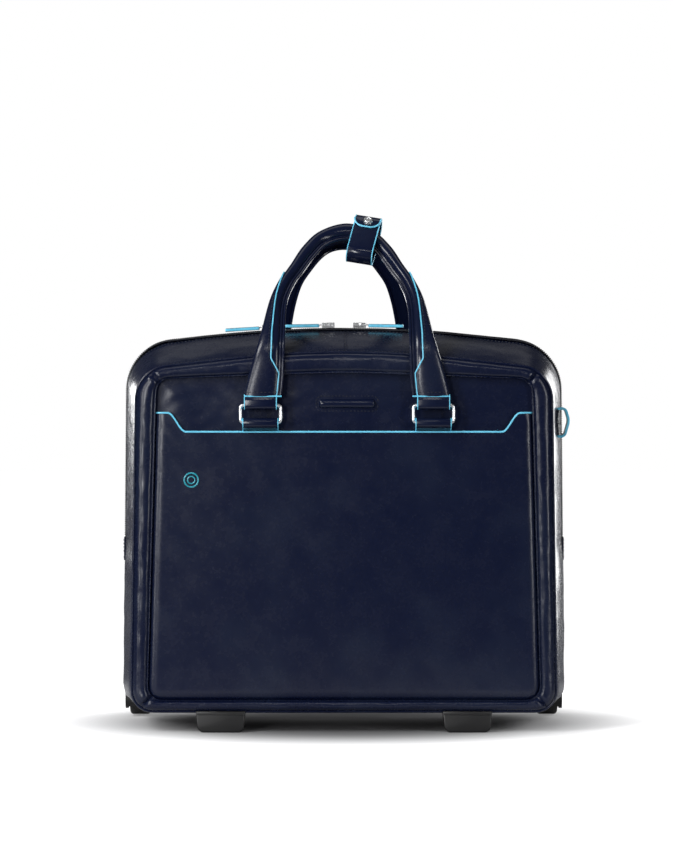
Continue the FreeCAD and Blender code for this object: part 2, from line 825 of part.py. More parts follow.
stud_group = group(rod("Y", "snap_radius", f"{GRIP_RADIUS} - snap_height", GRIP_RADIUS, "0",
                       "keeper_back_rise - 9"))
node(place(stud_group, "hardware_x + keeper_x", "front_grip_y", "front_grip_z", keeper_turn),
     "keeper_snap")

# The rear handle hangs in two smaller rings on the back panel.
def back_tab(side):
    """A strap from the back panel round the lower bar of a rear ring."""
    x = f"{side} * back_ring_pitch_x"
    tail = box((f"{x} - back_loop_width / 2", f"{x} + back_loop_width / 2"),
               (BACK_FACE, "back_ring_y"),
               (f"back_ring_low_z - {EYE} - 14", "back_ring_low_z"))
    slot = box((f"{x} - back_loop_width", f"{x} + back_loop_width"),
               (f"{BACK_FACE} + 2 * strap_thickness", "back_ring_y + 20"),
               (f"back_ring_low_z - {EYE} - 20", f"back_ring_low_z - {EYE} + strap_thickness"))
    whole = fuse(cut(tail, slot),
                 bar_eye("back_loop_width", x, "back_ring_y", "back_ring_low_z"))
    return cut(whole, eye_bore("back_loop_width", x, "back_ring_y", "back_ring_low_z"))


node(group(back_tab(-1), back_tab(1)), "rear_ring_tabs")
node(group(*[wire_ring(f"{side} * back_ring_pitch_x", "back_ring_y", "back_ring_low_z",
                       "back_ring_high_z", "back_ring_width") for side in (-1, 1)]),
     "rear_rings")
node(group(*[handle_eye(side, "0", "back_ring_pitch_x", "back_ring_y", "back_ring_high_z",
                        "back_leg_foot_z", "back_loop_width") for side in (-1, 1)]),
     "rear_handle_eyes")
BACK_CROWN = "back_grip_z + grip_diameter / 2 + crown_spare"
back_outer = [("back_leg_outer", "back_leg_foot_z"), ("back_shoulder_outer", "back_shoulder_z", "50"),
              ("back_crown_outer", BACK_CROWN, "42")]
back_inner = [("back_leg_inner", "back_leg_foot_z"),
              ("back_shoulder_inner", "back_shoulder_inner_z", "40"),
              ("back_crown_inner", f"{BACK_CROWN} - grip_diameter", "28")]


def back_profile():
    """The side profile of the rear handle, which leans forwards."""
    along_y = lean("back_grip_y", "back_grip_z", "back_ring_y", "back_leg_bend_z", "y")
    along_z = lean("back_grip_y", "back_grip_z", "back_ring_y", "back_leg_bend_z", "z")
    half, leg = "grip_diameter / 2", "leg_thickness / 2"

    def end(side):
        return (f"back_grip_y + {half} * ({along_y} + {side} * {along_z})",
                f"back_grip_z + {half} * ({along_z} - {side} * {along_y})", f"{half} - 0.1")
    return [(f"back_ring_y - {leg}", "back_leg_foot_z"),
            (f"back_ring_y - {leg}", "back_leg_bend_z - 1", "8"), end(-1), end(1),
            (f"back_ring_y + {leg}", "back_leg_bend_z + 1", "15"),
            (f"back_ring_y + {leg}", "back_leg_foot_z")]


node(handle("0", back_outer, back_inner, back_profile()), "rear_handle")


# ---------------------------------------------------------------------------------------------
# Zips, sliders, pulls, end tabs and the side loop
# ---------------------------------------------------------------------------------------------
def zip_band(low_y, high_y):
    """Half of a zip, or a whole one: tape and teeth along the top line of the case."""
    corners, apex = arch("middle", "split_z", "middle_split_half_width",
                         "chain_lift + chain_height")
    return prism("XZ", band(corners, "chain_height", apex), low_y, high_y)


node(zip_band("zip_y - chain_gap / 2 - chain_width", "zip_y - chain_gap / 2"), "zip_front_half")
node(zip_band("zip_y + chain_gap / 2", "zip_y + chain_gap / 2 + chain_width"), "zip_rear_half")
node(zip_band("rear_zip_y - chain_width / 2", "rear_zip_y + chain_width / 2"), "rear_zip")

ARCH_TOP = "(middle_apex_z - middle_arch_radius * (1 / cos(atan((middle_apex_z" \
           " - middle_corner_z) / middle_top_half_width)) - 1))"
CHAIN_TOP = f"({ARCH_TOP} + chain_lift + chain_height)"
ARCH_CENTRE = f"({ARCH_TOP} - middle_arch_radius)"


SLIDER_FOOT = f"({CHAIN_TOP} + clearance)"
SLIDER_TOP = f"({SLIDER_FOOT} + slider_height)"
PIN_HEIGHT = f"({SLIDER_TOP} - slider_cap_drop / 2)"


def on_track(item, x):
    """Swing a piece that is drawn at x = 0 along the zip's arc to x."""
    item.Placement = FreeCAD.Placement(Vector(), Rotation(Vector(0, 1, 0), 1))
    turn = f"asin(({x}) / ({CHAIN_TOP} - {ARCH_CENTRE}))"
    tie(item, ".Placement.Rotation.Angle", turn)
    tie(item, ".Placement.Base.x", f"-{ARCH_CENTRE} * sin({turn})")
    tie(item, ".Placement.Base.z", f"{ARCH_CENTRE} * (1 - cos({turn}))")
    return item


def slider(x, y, step):
    """A zip slider: a cap over the teeth with a raised bridge for the pull's pin."""
    cap_z = f"{SLIDER_TOP} - slider_cap_drop"
    half = "(chain_width + chain_gap / 2 + 0.4)"
    profile = [(f"{y} - {half}", f"{SLIDER_FOOT} + {step}"),
               (f"{y} - chain_gap", f"{SLIDER_FOOT} + {step}"), (f"{y} - chain_gap", SLIDER_FOOT),
               (f"{y} + {half}", SLIDER_FOOT),
               (f"{y} + {half}", cap_z, "0.9"), (f"{y} + bridge_half_width", cap_z),
               (f"{y} + bridge_half_width", SLIDER_TOP, "0.5"),
               (f"{y} - bridge_half_width", SLIDER_TOP, "0.5"),
               (f"{y} - bridge_half_width", cap_z), (f"{y} - {half}", cap_z, "0.5")]
    bore = rod("Y", "pull_pin_radius + pull_pin_gap", f"{y} - 10", f"{y} + 10", "0", PIN_HEIGHT)
    return on_track(cut(strip(profile, "0", "slider_length"), bore), x)


def span(first, second, outward):
    """The two limits in rising order: first is nearer the slider than second."""
    return (first, second) if outward > 0 else (second, first)


def zip_pull(x, y, outward):
    """A pull that lies on the top of the case and points away from its slider.

    A leather tongue hangs on two thin links from a pin through the slider's bridge.
    """
    root = f"({outward} * (slider_length / 2 + pull_gap))"
    tip = f"({root} + {outward} * pull_length)"
    low = f"({CHAIN_TOP} + 2 * clearance)"
    wire = "pull_pin_radius"
    tongue = rounded(box(span(root, tip, outward),
                         (f"{y} - pull_width / 2", f"{y} + pull_width / 2"),
                         (low, f"{low} + pull_thickness")), "pull_width / 3", along("Z"))
    pieces = [tongue, rod("Y", wire, f"{y} - bridge_half_width - 3 * {wire}",
                          f"{y} + bridge_half_width + 3 * {wire}", "0", PIN_HEIGHT)]
    for edge in (f"{y} - bridge_half_width - 3 * {wire}", f"{y} + bridge_half_width + {wire}"):
        sides = (edge, f"{edge} + 2 * {wire}")
        pieces.append(box(span(f"-{outward} * {wire}", f"{root} + {outward} * 3 * {wire}",
                               outward), sides,
                          (f"{PIN_HEIGHT} - {wire}", f"{PIN_HEIGHT} + {wire}")))
        pieces.append(box(span(f"{root} + {outward} * {wire}", f"{root} + {outward} * 3 * {wire}",
                               outward), sides, (low, PIN_HEIGHT)))
    return on_track(fuse(*pieces), x)


SLIDERS = (("zip_slider_left", "zip_pull_left", "-slider_x", "zip_y", -1, "slider_step"),
           ("zip_slider_right", "zip_pull_right", "slider_x", "zip_y", 1, "slider_step"),
           ("rear_zip_slider", "rear_zip_pull", "back_slider_x", "rear_zip_y", -1, "0.1"))
for slider_label, pull_label, slider_at, zip_line, outward, step in SLIDERS:
    node(slider(slider_at, zip_line, step), slider_label)
    node(zip_pull(slider_at, zip_line, outward), pull_label)


def end_tab(side):
    """The leather patch over one lower end of the main zip."""
    near, far = "(middle_split_half_width + 3 * clearance)", "end_tab_thickness"
    x = (near, f"{near} + {far}") if side > 0 else (f"-{near} - {far}", f"-{near}")
    patch = box(x, ("zip_y - end_tab_width / 2", "zip_y + end_tab_width / 2"),
                ("split_z - clearance - end_tab_height", "split_z - clearance"))
    return rounded(patch, "end_tab_width / 5", along("X"))


node(group(end_tab(-1), end_tab(1)), "zip_end_tabs")



def gusset_side(y):
    """How far out the front gusset's side is at y, at the height of the loop's lower edge."""
    front = ("(front_half_width + (front_top_half_width - front_half_width)"
             " * (loop_low_z - floor_z) / (front_corner_z - floor_z))")
    middle = ("(middle_split_half_width + (middle_top_half_width - middle_split_half_width)"
              " * (loop_low_z - split_z) / (middle_corner_z - split_z))")
    return f"({front} + ({middle} - {front}) * ({y} - front_y) / (zip_y - 2 - front_y) + clearance)"


LOOP_OUT = "(middle_top_half_width + loop_reach)"
LOOP_START, LOOP_END = "(loop_y - loop_length / 2)", "(loop_y + loop_length / 2)"
loop_outer = [(gusset_side(LOOP_START), LOOP_START), (LOOP_OUT, f"{LOOP_START} + 6", "6"),
              (LOOP_OUT, f"{LOOP_END} - 6", "6"), (gusset_side(LOOP_END), LOOP_END)]
loop_inner = [(gusset_side(f"{LOOP_END} - strap_thickness"), f"{LOOP_END} - strap_thickness"),
              (f"{LOOP_OUT} - strap_thickness", f"{LOOP_END} - 6 - strap_thickness", "4"),
              (f"{LOOP_OUT} - strap_thickness", f"{LOOP_START} + 6 + strap_thickness", "4"),
              (gusset_side(f"{LOOP_START} + strap_thickness"), f"{LOOP_START} + strap_thickness")]
node(prism("XY", loop_outer + loop_inner, "loop_low_z", "loop_high_z"), "side_loop")


# ---------------------------------------------------------------------------------------------
# The pull handle: fixed tubes, two sliding stages, grip, button and rods
# ---------------------------------------------------------------------------------------------
def rounded_rectangle(x, y, width, depth, radius):
    """The four corners of a rounded rectangle round (x, y)."""
    return [(f"{x} + {i} * ({width}) / 2", f"{y} + {j} * ({depth}) / 2", radius)
            for i, j in ((1, 1), (-1, 1), (-1, -1), (1, -1))]


def shrink(stage):
    """How much narrower, all round, the tube of a stage is than the fixed tube."""
    return f"({stage} * (tube_wall + tube_gap))"


def tube(side, stage, low, high, inset="0"):
    """A bar of a stage's outer section, or of its bore when inset is the wall."""
    less = f"({shrink(stage)} + {inset})"
    return prism("XY", rounded_rectangle(f"{side} * tube_pitch_x", "tube_y",
                                         f"tube_width - 2 * {less}", f"tube_depth - 2 * {less}",
                                         f"tube_corner_radius - {less}"), low, high)


def tubes(stage, low, high):
    """The pair of tubes of one stage."""
    return group(*[cut(tube(side, stage, low, high),
                       tube(side, stage, f"{low} - 1", f"{high} + 1", "tube_wall"))
                   for side in (-1, 1)])


BEZEL_TOP = "tube_top_z + bezel_height"
COLLAR_TOP = f"{BEZEL_TOP} + clearance + collar_height"
GRIP_FOOT = f"{COLLAR_TOP} + grip_gap"
GRIP_TOP = f"{GRIP_FOOT} + grip_height"
PALM_Z = f"{GRIP_TOP} - grip_bar_height"
GRIP_FRONT = "tube_y - grip_depth / 2"
COVER_BACK = "tube_y + tube_depth / 2 + 1.5 + cover_wall"

node(tubes(0, "tube_foot_z", "tube_top_z"), "fixed_tubes")
node(tubes(1, "tube_foot_z + 5", BEZEL_TOP), "middle_tubes")
node(tubes(2, "tube_foot_z + 10", f"{PALM_Z} + 2"), "inner_tubes")
node(group(*[cut(tube(side, 0, f"{BEZEL_TOP} + clearance", COLLAR_TOP),
                 tube(side, 2, BEZEL_TOP, f"{COLLAR_TOP} + 1", "(-tube_gap)"))
             for side in (-1, 1)]), "middle_collars")

node(box(("-bezel_half_width", "bezel_half_width"), (BACK_FACE, COVER_BACK),
         ("tube_foot_z - 8", "tube_foot_z")), "tube_bracket")
bezel = rounded(box(("-bezel_half_width", "bezel_half_width"), (BACK_FACE, f"{COVER_BACK} + 1"),
                    ("tube_top_z", BEZEL_TOP)), "3", along("Z"))
node(cut(bezel, *[tube(side, 1, "tube_top_z - 1", f"{BEZEL_TOP} + 1", "(-tube_gap)")
                  for side in (-1, 1)]), "tube_bezel")
cover = prism("XY", [("bezel_half_width", BACK_FACE), ("bezel_half_width", COVER_BACK, "8"),
                     ("-bezel_half_width", COVER_BACK, "8"), ("-bezel_half_width", BACK_FACE)],
              "cover_foot_z", "tube_top_z")
cover_space = box(("-bezel_half_width + cover_wall", "bezel_half_width - cover_wall"),
                  (f"{BACK_FACE} - 1", f"{COVER_BACK} - cover_wall"),
                  ("cover_foot_z - 1", "tube_top_z + 1"))
node(cut(cover, rounded(cover_space, "5", lambda edge: along("Z")(edge)
                        and edge.Vertexes[0].Y > number("tube_y"))), "rear_cover")

palm = "grip_half_width - grip_leg_width"
grip_outline = [("grip_half_width", GRIP_FOOT, "2"), ("grip_half_width", GRIP_TOP, "9"),
                ("-grip_half_width", GRIP_TOP, "9"), ("-grip_half_width", GRIP_FOOT, "2"),
                (f"-({palm})", GRIP_FOOT, "2"), (f"-({palm})", PALM_Z, "5"),
                (palm, PALM_Z, "5"), (palm, GRIP_FOOT, "2")]
grip_shape = prism("XZ", grip_outline, GRIP_FRONT, "tube_y + grip_depth / 2")
YOKE_TOP = f"{GRIP_TOP} - 9"
YOKE_HEIGHT = "4"
PRESS = "4"
yoke_space = box(("-tube_pitch_x - 5", "tube_pitch_x + 5"), ("tube_y - 3.5", "tube_y + 3.5"),
                 (f"{PALM_Z} + 2", f"{YOKE_TOP} + clearance"))
button_space = box(("-button_length / 2 - clearance", "button_length / 2 + clearance"),
                   ("tube_y - button_width / 2 - clearance", "tube_y + button_width / 2 + clearance"),
                   (f"{YOKE_TOP} - {PRESS} - clearance", f"{GRIP_TOP} + 1"))
node(cut(grip_shape, yoke_space, button_space,
         *[tube(side, 2, f"{GRIP_FOOT} - 1", f"{PALM_Z} + 2") for side in (-1, 1)]), "pull_grip")
button = box(("-button_length / 2", "button_length / 2"),
             ("tube_y - button_width / 2", "tube_y + button_width / 2"),
             (YOKE_TOP, f"{GRIP_TOP} + button_rise"))
node(rounded(button, "3", along("Z")), "release_button")
yoke = box(("-tube_pitch_x - 4", "tube_pitch_x + 4"), ("tube_y - 3", "tube_y + 3"),
           (f"{YOKE_TOP} - {YOKE_HEIGHT}", YOKE_TOP))
node(fuse(yoke, *[rod("Z", "rod_radius", "tube_foot_z + 30", f"{YOKE_TOP} - 1",
                      f"{side} * tube_pitch_x", "tube_y") for side in (-1, 1)]), "release_rods")


# ---------------------------------------------------------------------------------------------
# Running gear: housings, axles, wheels and front feet
# ---------------------------------------------------------------------------------------------
def mirrored_span(side, low, high):
    """A span on the +X side, or its mirror image."""
    return (low, high) if side > 0 else (f"-({high})", f"-({low})")


for label, side in (("left", -1), ("right", 1)):
    shell_span = mirrored_span(side, HOUSING_INNER, HOUSING_OUTER)
    well = mirrored_span(side, f"{HOUSING_INNER} + cheek_thickness",
                         f"{HOUSING_OUTER} - cheek_thickness")
    shell = prism("YZ", [("housing_front_y", "housing_foot_z", "10"),
                         ("housing_back_y", "housing_foot_z", "20"),
                         ("housing_back_y", "housing_top_z", "28"),
                         ("housing_front_y", "housing_top_z", "3")], *shell_span)
    round_well = rod("X", "wheel_radius + wheel_well_gap", *well, "wheel_y", "wheel_radius")
    open_foot = box(well, ("wheel_y - wheel_radius - wheel_well_gap", "housing_back_y + 1"),
                    ("0", "wheel_radius"))
    axle_hole = rod("X", "axle_radius", f"{shell_span[0]} - 1", f"{shell_span[1]} + 1", "wheel_y",
                    "wheel_radius")
    node(cut(shell, round_well, open_foot, axle_hole), f"wheel_housing_{label}")
    tread = mirrored_span(side, "wheel_x - wheel_width / 2", "wheel_x + wheel_width / 2")
    tyre = cut(rod("X", "wheel_radius", *tread, "wheel_y", "wheel_radius"),
               rod("X", "hub_radius", f"{tread[0]} - 1", f"{tread[1]} + 1", "wheel_y",
                   "wheel_radius"))
    node(rounded(tyre, "3", lambda edge: isinstance(edge.Curve, Part.Circle)
                 and edge.Curve.Radius > number("hub_radius") + 1), f"tyre_{label}")
    hub_span = mirrored_span(side, "wheel_x - wheel_width / 2 + 0.5",
                             "wheel_x + wheel_width / 2 - 0.5")
    hub = rod("X", "hub_radius", *hub_span, "wheel_y", "wheel_radius")
    bore = rod("X", "axle_radius + axle_gap", f"{hub_span[0]} - 1", f"{hub_span[1]} + 1",
               "wheel_y", "wheel_radius")
    windows = [rod("X", "3.2", f"{hub_span[0]} - 1", f"{hub_span[1]} + 1",
                   f"wheel_y + (hub_radius * 0.6) * {math.cos(turn * math.pi / 3):.6f}",
                   f"wheel_radius + (hub_radius * 0.6) * {math.sin(turn * math.pi / 3):.6f}")
               for turn in range(6)]
    node(cut(hub, bore, *windows), f"hub_{label}")

node(group(*[rod("X", "axle_radius", *mirrored_span(side, HOUSING_INNER, HOUSING_OUTER),
                 "wheel_y", "wheel_radius") for side in (-1, 1)]), "wheel_axles")

FOOT_TOP = "floor_z - clearance"


def foot(side):
    """One moulded front foot with a sunk screw hole."""
    x = f"{side} * foot_x"
    face = [(f"{x} + foot_top_width / 2", FOOT_TOP), (f"{x} - foot_top_width / 2", FOOT_TOP),
            (f"{x} - foot_floor_width / 2", "0", "foot_radius"),
            (f"{x} + foot_floor_width / 2", "0", "foot_radius")]
    block = prism("XZ", face, "foot_front_y", "foot_front_y + foot_depth")
    shank = rod("Z", "screw_radius", "-1", f"{FOOT_TOP} + 1", x, FOOT_CENTRE_Y)
    head = rod("Z", "screw_head_radius + clearance", "-1", "5", x, FOOT_CENTRE_Y)
    return cut(block, shank, head)


def foot_screw(side):
    """The countersunk screw that holds a foot to the tray."""
    x = f"{side} * foot_x"
    return fuse(rod("Z", "screw_radius", "4", f"{TRAY_TOP}", x, FOOT_CENTRE_Y),
                rod("Z", "screw_head_radius", "2.6", "5", x, FOOT_CENTRE_Y))


node(group(foot(-1), foot(1)), "front_feet")
node(group(foot_screw(-1), foot_screw(1)), "foot_screws")


# ---------------------------------------------------------------------------------------------
# Check and write
# ---------------------------------------------------------------------------------------------
doc.recompute()
failed = [f"{item.Name} ({item.Label}): {item.State}" for item in doc.Objects
          if "Invalid" in item.State or "Error" in item.State]
for item in NODES:
    shape = item.Shape
    if shape.isNull() or not shape.isValid() or not shape.Solids or shape.Volume <= 0:
        failed.append(f"{item.Label}: the shape is null, empty or not valid")
if failed:
    raise SystemExit("failed objects: " + "; ".join(failed))

os.makedirs("parts", exist_ok=True)
for item in NODES:
    item.Shape.exportStep(os.path.join("parts", item.Label + ".step"))
print(len(NODES), "sub-parts written")
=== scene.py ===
"""Leather, trim, fittings and stage of a rolling laptop case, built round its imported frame.

Shapes are worked out in millimetres and scaled to metres when a piece is finished. The front of
the case faces -Y, +Z is up and the floor is at zero.
"""

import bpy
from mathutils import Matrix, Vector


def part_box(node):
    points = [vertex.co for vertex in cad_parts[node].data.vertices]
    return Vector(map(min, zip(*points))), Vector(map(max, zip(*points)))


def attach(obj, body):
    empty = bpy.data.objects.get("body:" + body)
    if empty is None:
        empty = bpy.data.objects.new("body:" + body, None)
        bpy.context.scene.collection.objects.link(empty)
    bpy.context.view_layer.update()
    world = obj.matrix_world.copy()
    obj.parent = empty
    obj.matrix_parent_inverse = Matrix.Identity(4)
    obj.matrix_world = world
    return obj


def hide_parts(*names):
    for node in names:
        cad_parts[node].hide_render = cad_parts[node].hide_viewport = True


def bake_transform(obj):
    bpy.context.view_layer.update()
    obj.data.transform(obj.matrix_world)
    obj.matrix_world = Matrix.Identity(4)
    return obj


bl_info = {
    "name": "Rolling laptop case",
    "version": (1, 0, 0),
    "blender": (4, 5, 0),
    "location": "3D View > Sidebar > Laptop case",
    "description": "Builds the leather, trim and fittings of a rolling laptop case",
    "category": "Object",
}

import math
from collections import namedtuple

import bmesh
import bpy
import numpy as np
from bpy.props import FloatProperty, FloatVectorProperty, PointerProperty
from mathutils import Euler, Matrix, Vector, noise

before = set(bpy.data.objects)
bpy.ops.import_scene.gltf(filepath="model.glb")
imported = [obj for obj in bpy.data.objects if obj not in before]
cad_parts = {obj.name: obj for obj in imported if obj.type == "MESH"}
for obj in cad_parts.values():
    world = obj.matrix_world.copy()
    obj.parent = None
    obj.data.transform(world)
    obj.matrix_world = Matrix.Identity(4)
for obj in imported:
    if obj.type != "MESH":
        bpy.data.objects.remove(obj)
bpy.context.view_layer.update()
MM = 0.001

# ---------------------------------------------------------------------------------------------
# Sizes that come from the frame, in millimetres
# ---------------------------------------------------------------------------------------------
Span = namedtuple("Span", "low high")


def span(node):
    """The box of a frame node in millimetres."""
    low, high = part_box(node)
    return Span(low / MM, high / MM)


STRIPS = span("front_frame")
POCKET = span("front_pocket")
BAR = span("embossed_bar")
BADGE = span("pocket_badge")
FRONT_RINGS = span("front_rings")
REAR_RINGS = span("rear_rings")
FRONT_HANDLE = span("front_handle")
FRONT_GUSSET = span("front_gusset")
REAR_GUSSET = span("rear_gusset")
LOWER_GUSSET = span("lower_gusset")
BACK_PANEL = span("back_panel")
FRONT_PANEL = span("front_panel")
FRONT_ZIP = span("zip_front_half")
BACK_ZIP = span("zip_rear_half")
REAR_ZIP = span("rear_zip")
FEET = span("front_feet")
SIDE_LOOP = span("side_loop")
PULL_GRIP = span("pull_grip")
SLEEVE = span("laptop_sleeve")

FLOOR_Z = LOWER_GUSSET.low.z
SPLIT_Z = FRONT_GUSSET.low.z
FRONT_Y = FRONT_GUSSET.low.y
BACK_Y = REAR_GUSSET.high.y
ZIP_Y = (FRONT_ZIP.high.y + BACK_ZIP.low.y) / 2
REAR_ZIP_Y = (REAR_ZIP.low.y + REAR_ZIP.high.y) / 2
RING_X = 3.0
RING_WIDTH = 44
RING_PITCH = (FRONT_RINGS.high.x - FRONT_RINGS.low.x - RING_WIDTH) / 2
RING_Y = (FRONT_RINGS.low.y + FRONT_RINGS.high.y) / 2
RING_WIRE = FRONT_RINGS.high.y - FRONT_RINGS.low.y
RING_LOW = FRONT_RINGS.low.z + RING_WIRE / 2
RING_HIGH = FRONT_RINGS.high.z - RING_WIRE / 2
REAR_RING_WIDTH = 32
REAR_RING_X = REAR_RINGS.high.x - REAR_RING_WIDTH / 2
REAR_RING_Y = (REAR_RINGS.low.y + REAR_RINGS.high.y) / 2
REAR_RING_LOW = REAR_RINGS.low.z + RING_WIRE / 2
REAR_RING_HIGH = REAR_RINGS.high.z - RING_WIRE / 2
GRIP_Y = FRONT_HANDLE.high.y - 8.5
GRIP_Z = 503.5

# One upright section of the case: half widths at foot and shoulder, heights of shoulder and
# crown corners, and the radii that round them.
Section = namedtuple("Section", "foot_half top_half corner_z apex_z arch corner base")
FRONT = Section(STRIPS.high.x, 207.5, 363.9, 387.3, 1000, 33, 20)
MIDDLE = Section(LOWER_GUSSET.high.x, 220.5, 387.6, 411.6, 1300, 50, 20)
BACK = Section(BACK_PANEL.high.x, 214, 381, 399, 1000, 45, 20)
OPENING = Section(197, 187.5, 355, 361.5, 1000, 14, 14)
OPENING_FOOT = 33.0
HEART = Vector((0, 200))
ARCH_CENTRE_Z = 403.9 - MIDDLE.arch
# How far each gusset stops short of the middle of the main zip.
ZIP_GAP = 2.4
# The ways off the front and off the back.
FORWARD, REARWARD = Vector((0, -1, 0)), Vector((0, 1, 0))


class CaseSizes(bpy.types.PropertyGroup):
    """Sizes of the soft trim."""
    gusset_puff: FloatProperty(name="Gusset puff", default=0.0032, unit="LENGTH",
                               description="How far the gussets swell between their seams")
    leather: FloatProperty(name="Leather", default=0.0018, unit="LENGTH",
                           description="Thickness of the leather")
    piping: FloatProperty(name="Piping", default=0.0015, unit="LENGTH",
                          description="Radius of the piping cord")
    edge: FloatProperty(name="Painted edge", default=0.0009, unit="LENGTH",
                        description="Radius of the bead of paint on a cut edge")
    thread: FloatProperty(name="Thread", default=0.0004, unit="LENGTH",
                          description="Radius of the sewing thread")
    stitch_pitch: FloatProperty(name="Stitch pitch", default=0.0036, unit="LENGTH",
                                description="Distance from one stitch to the next")
    tooth_pitch: FloatProperty(name="Tooth pitch", default=0.0022, unit="LENGTH",
                               description="Distance from one zip tooth to the next")


class CaseColours(bpy.types.PropertyGroup):
    """Colours of the finishes."""
    leather: FloatVectorProperty(name="Leather", subtype="COLOR", default=(0.0036, 0.0064, 0.024),
                                 description="Deep tone of the leather")
    leather_worn: FloatVectorProperty(name="Worn leather", subtype="COLOR",
                                      default=(0.0085, 0.013, 0.032),
                                      description="Tone of the leather where it is rubbed")
    edge_paint: FloatVectorProperty(name="Edge paint", subtype="COLOR",
                                    default=(0.16, 0.62, 0.86),
                                    description="Paint on the cut edges")
    thread: FloatVectorProperty(name="Thread", subtype="COLOR", default=(0.006, 0.008, 0.016),
                                description="Sewing thread")
    badge: FloatVectorProperty(name="Badge", subtype="COLOR", default=(0.02, 0.27, 0.36),
                               description="Paint of the badge")
    lining: FloatVectorProperty(name="Lining", subtype="COLOR", default=(0.03, 0.055, 0.1),
                                description="Woven lining")
    plastic: FloatVectorProperty(name="Plastic", subtype="COLOR", default=(0.0045, 0.0045, 0.005),
                                 description="Moulded plastic")
    rubber: FloatVectorProperty(name="Rubber", subtype="COLOR", default=(0.013, 0.013, 0.014),
                                description="Tyres and feet")


def size(name):
    """A trim size in millimetres."""
    return getattr(bpy.context.scene.case_sizes, name) / MM


def colour(name):
    """A finish's colour with full alpha."""
    return (*getattr(bpy.context.scene.case_colours, name), 1.0)


# ---------------------------------------------------------------------------------------------
# Shader maths
# ---------------------------------------------------------------------------------------------
class Value:
    """A shader socket. Arithmetic on it adds Math nodes."""

    def __init__(self, graph, socket):
        self.graph, self.socket = graph, socket

    def math(self, operation, *others):
        return self.graph.node("ShaderNodeMath", {"operation": operation},
                               dict(enumerate((self, *others))))[0]

    def __add__(self, other):
        return self.math("ADD", other)

    def __sub__(self, other):
        return self.math("SUBTRACT", other)

    def __rsub__(self, other):
        return self.graph.node("ShaderNodeMath", {"operation": "SUBTRACT"},
                               {0: other, 1: self})[0]

    def __mul__(self, other):
        return self.math("MULTIPLY", other)

    __radd__ = __add__
    __rmul__ = __mul__


class Graph:
    """The nodes of a material or a world, and its main shader."""

    def __init__(self, owner, shader):
        owner.use_nodes = True
        self.owner, self.tree = owner, owner.node_tree
        self.shader = self.tree.nodes[shader]

    def node(self, kind, settings=None, inputs=None):
        """Add a node: its settings first, then the values or links of its sockets."""
        made = self.tree.nodes.new(kind)
        for key, value in (settings or {}).items():
            if key == "stops":
                ramp = made.color_ramp
                while len(ramp.elements) < len(value):
                    ramp.elements.new(0.5)
                for element, (place, tone) in zip(ramp.elements, value):
                    element.position, element.color = place, tone
            else:
                setattr(made, key, value)
        for key, value in (inputs or {}).items():
            self.feed(made.inputs[key], value)
        return [Value(self, socket) for socket in made.outputs]

    def feed(self, socket, value):
        """Link a socket to a Value, or set it."""
        if isinstance(value, Value):
            self.tree.links.new(value.socket, socket)
        else:
            socket.default_value = value

    def set(self, **sockets):
        """Set or link sockets of the main shader, named with underscores for spaces."""
        for key, value in sockets.items():
            self.feed(self.shader.inputs[key.replace("_", " ")], value)
        return self.owner


class Finish(Graph):
    """A material under construction, with the coordinates and patterns that finishes share."""

    def __init__(self, name):
        super().__init__(bpy.data.materials.new(name), "Principled BSDF")

    def place(self, stretch=(1, 1, 1)):
        """Object coordinates in metres, stretched along each axis."""
        spot = self.node("ShaderNodeTexCoord")[3]
        if stretch == (1, 1, 1):
            return spot
        return self.node("ShaderNodeMapping", {}, {"Vector": spot, "Scale": stretch})[0]

    def noise(self, scale, detail=2.0, stretch=(1, 1, 1), rough=0.5):
        """Cloudy noise from 0 to 1. scale is per metre."""
        return self.node("ShaderNodeTexNoise", {}, {
            "Vector": self.place(stretch), "Scale": scale, "Detail": detail,
            "Roughness": rough})[0]

    def ramp(self, value, low, high):
        """A value mapped from low..high to 0..1, smoothly."""
        return self.node("ShaderNodeMapRange", {"interpolation_type": "SMOOTHSTEP"},
                         {"Value": value, "From Min": low, "From Max": high})[0]

    def mix(self, factor, first, second):
        """One colour mixed into another."""
        return self.node("ShaderNodeMix", {"data_type": "RGBA"}, {0: factor, 6: first, 7: second})[2]

    def bump(self, height, distance, strength=1.0, under=None):
        """A normal from a height. distance is in millimetres."""
        inputs = {"Height": height, "Distance": distance * MM, "Strength": strength}
        if under:
            inputs["Normal"] = under
        return self.node("ShaderNodeBump", {}, inputs)[0]


FINISHES = {}


def finish(name):
    """The material of this name, made once."""
    if name not in FINISHES:
        FINISHES[name] = RECIPES[name](Finish(name))
    return FINISHES[name]


def polished_leather(f, grain=1.0, shine=0.0):
    """Smooth calf leather with a fine pebble, waxed clouds and rubbed patches."""
    cloud = f.noise(9, 3.0)
    patch = f.noise(34, 2.0)
    rubbed = f.ramp(cloud * 0.7 + patch * 0.3, 0.44, 0.66)
    mottle = f.noise(260, 2.0)
    tone = f.mix(rubbed * 0.75, colour("leather"), colour("leather_worn"))
    tone = f.mix(f.ramp(mottle, 0.35, 0.75) * 0.35, tone, colour("leather"))
    pebble = f.node("ShaderNodeTexVoronoi", {"feature": "DISTANCE_TO_EDGE"},
                    {"Vector": f.place(), "Scale": 820.0, "Randomness": 1.0})[0]
    pores = f.noise(2300, 2.0)
    crease = f.noise(42, 2.0, rough=0.4)
    skin = f.bump(f.ramp(pebble, 0.0, 0.3) + pores * 0.2, 0.012 * grain, 0.4)
    normal = f.bump(crease, 0.5, 0.5, under=skin)
    rough = 0.18 - shine + f.noise(48, 2.0) * 0.14 + f.ramp(mottle, 0.4, 0.8) * 0.05
    return f.set(Base_Color=tone, Roughness=rough, Normal=normal, Specular_IOR_Level=0.36)


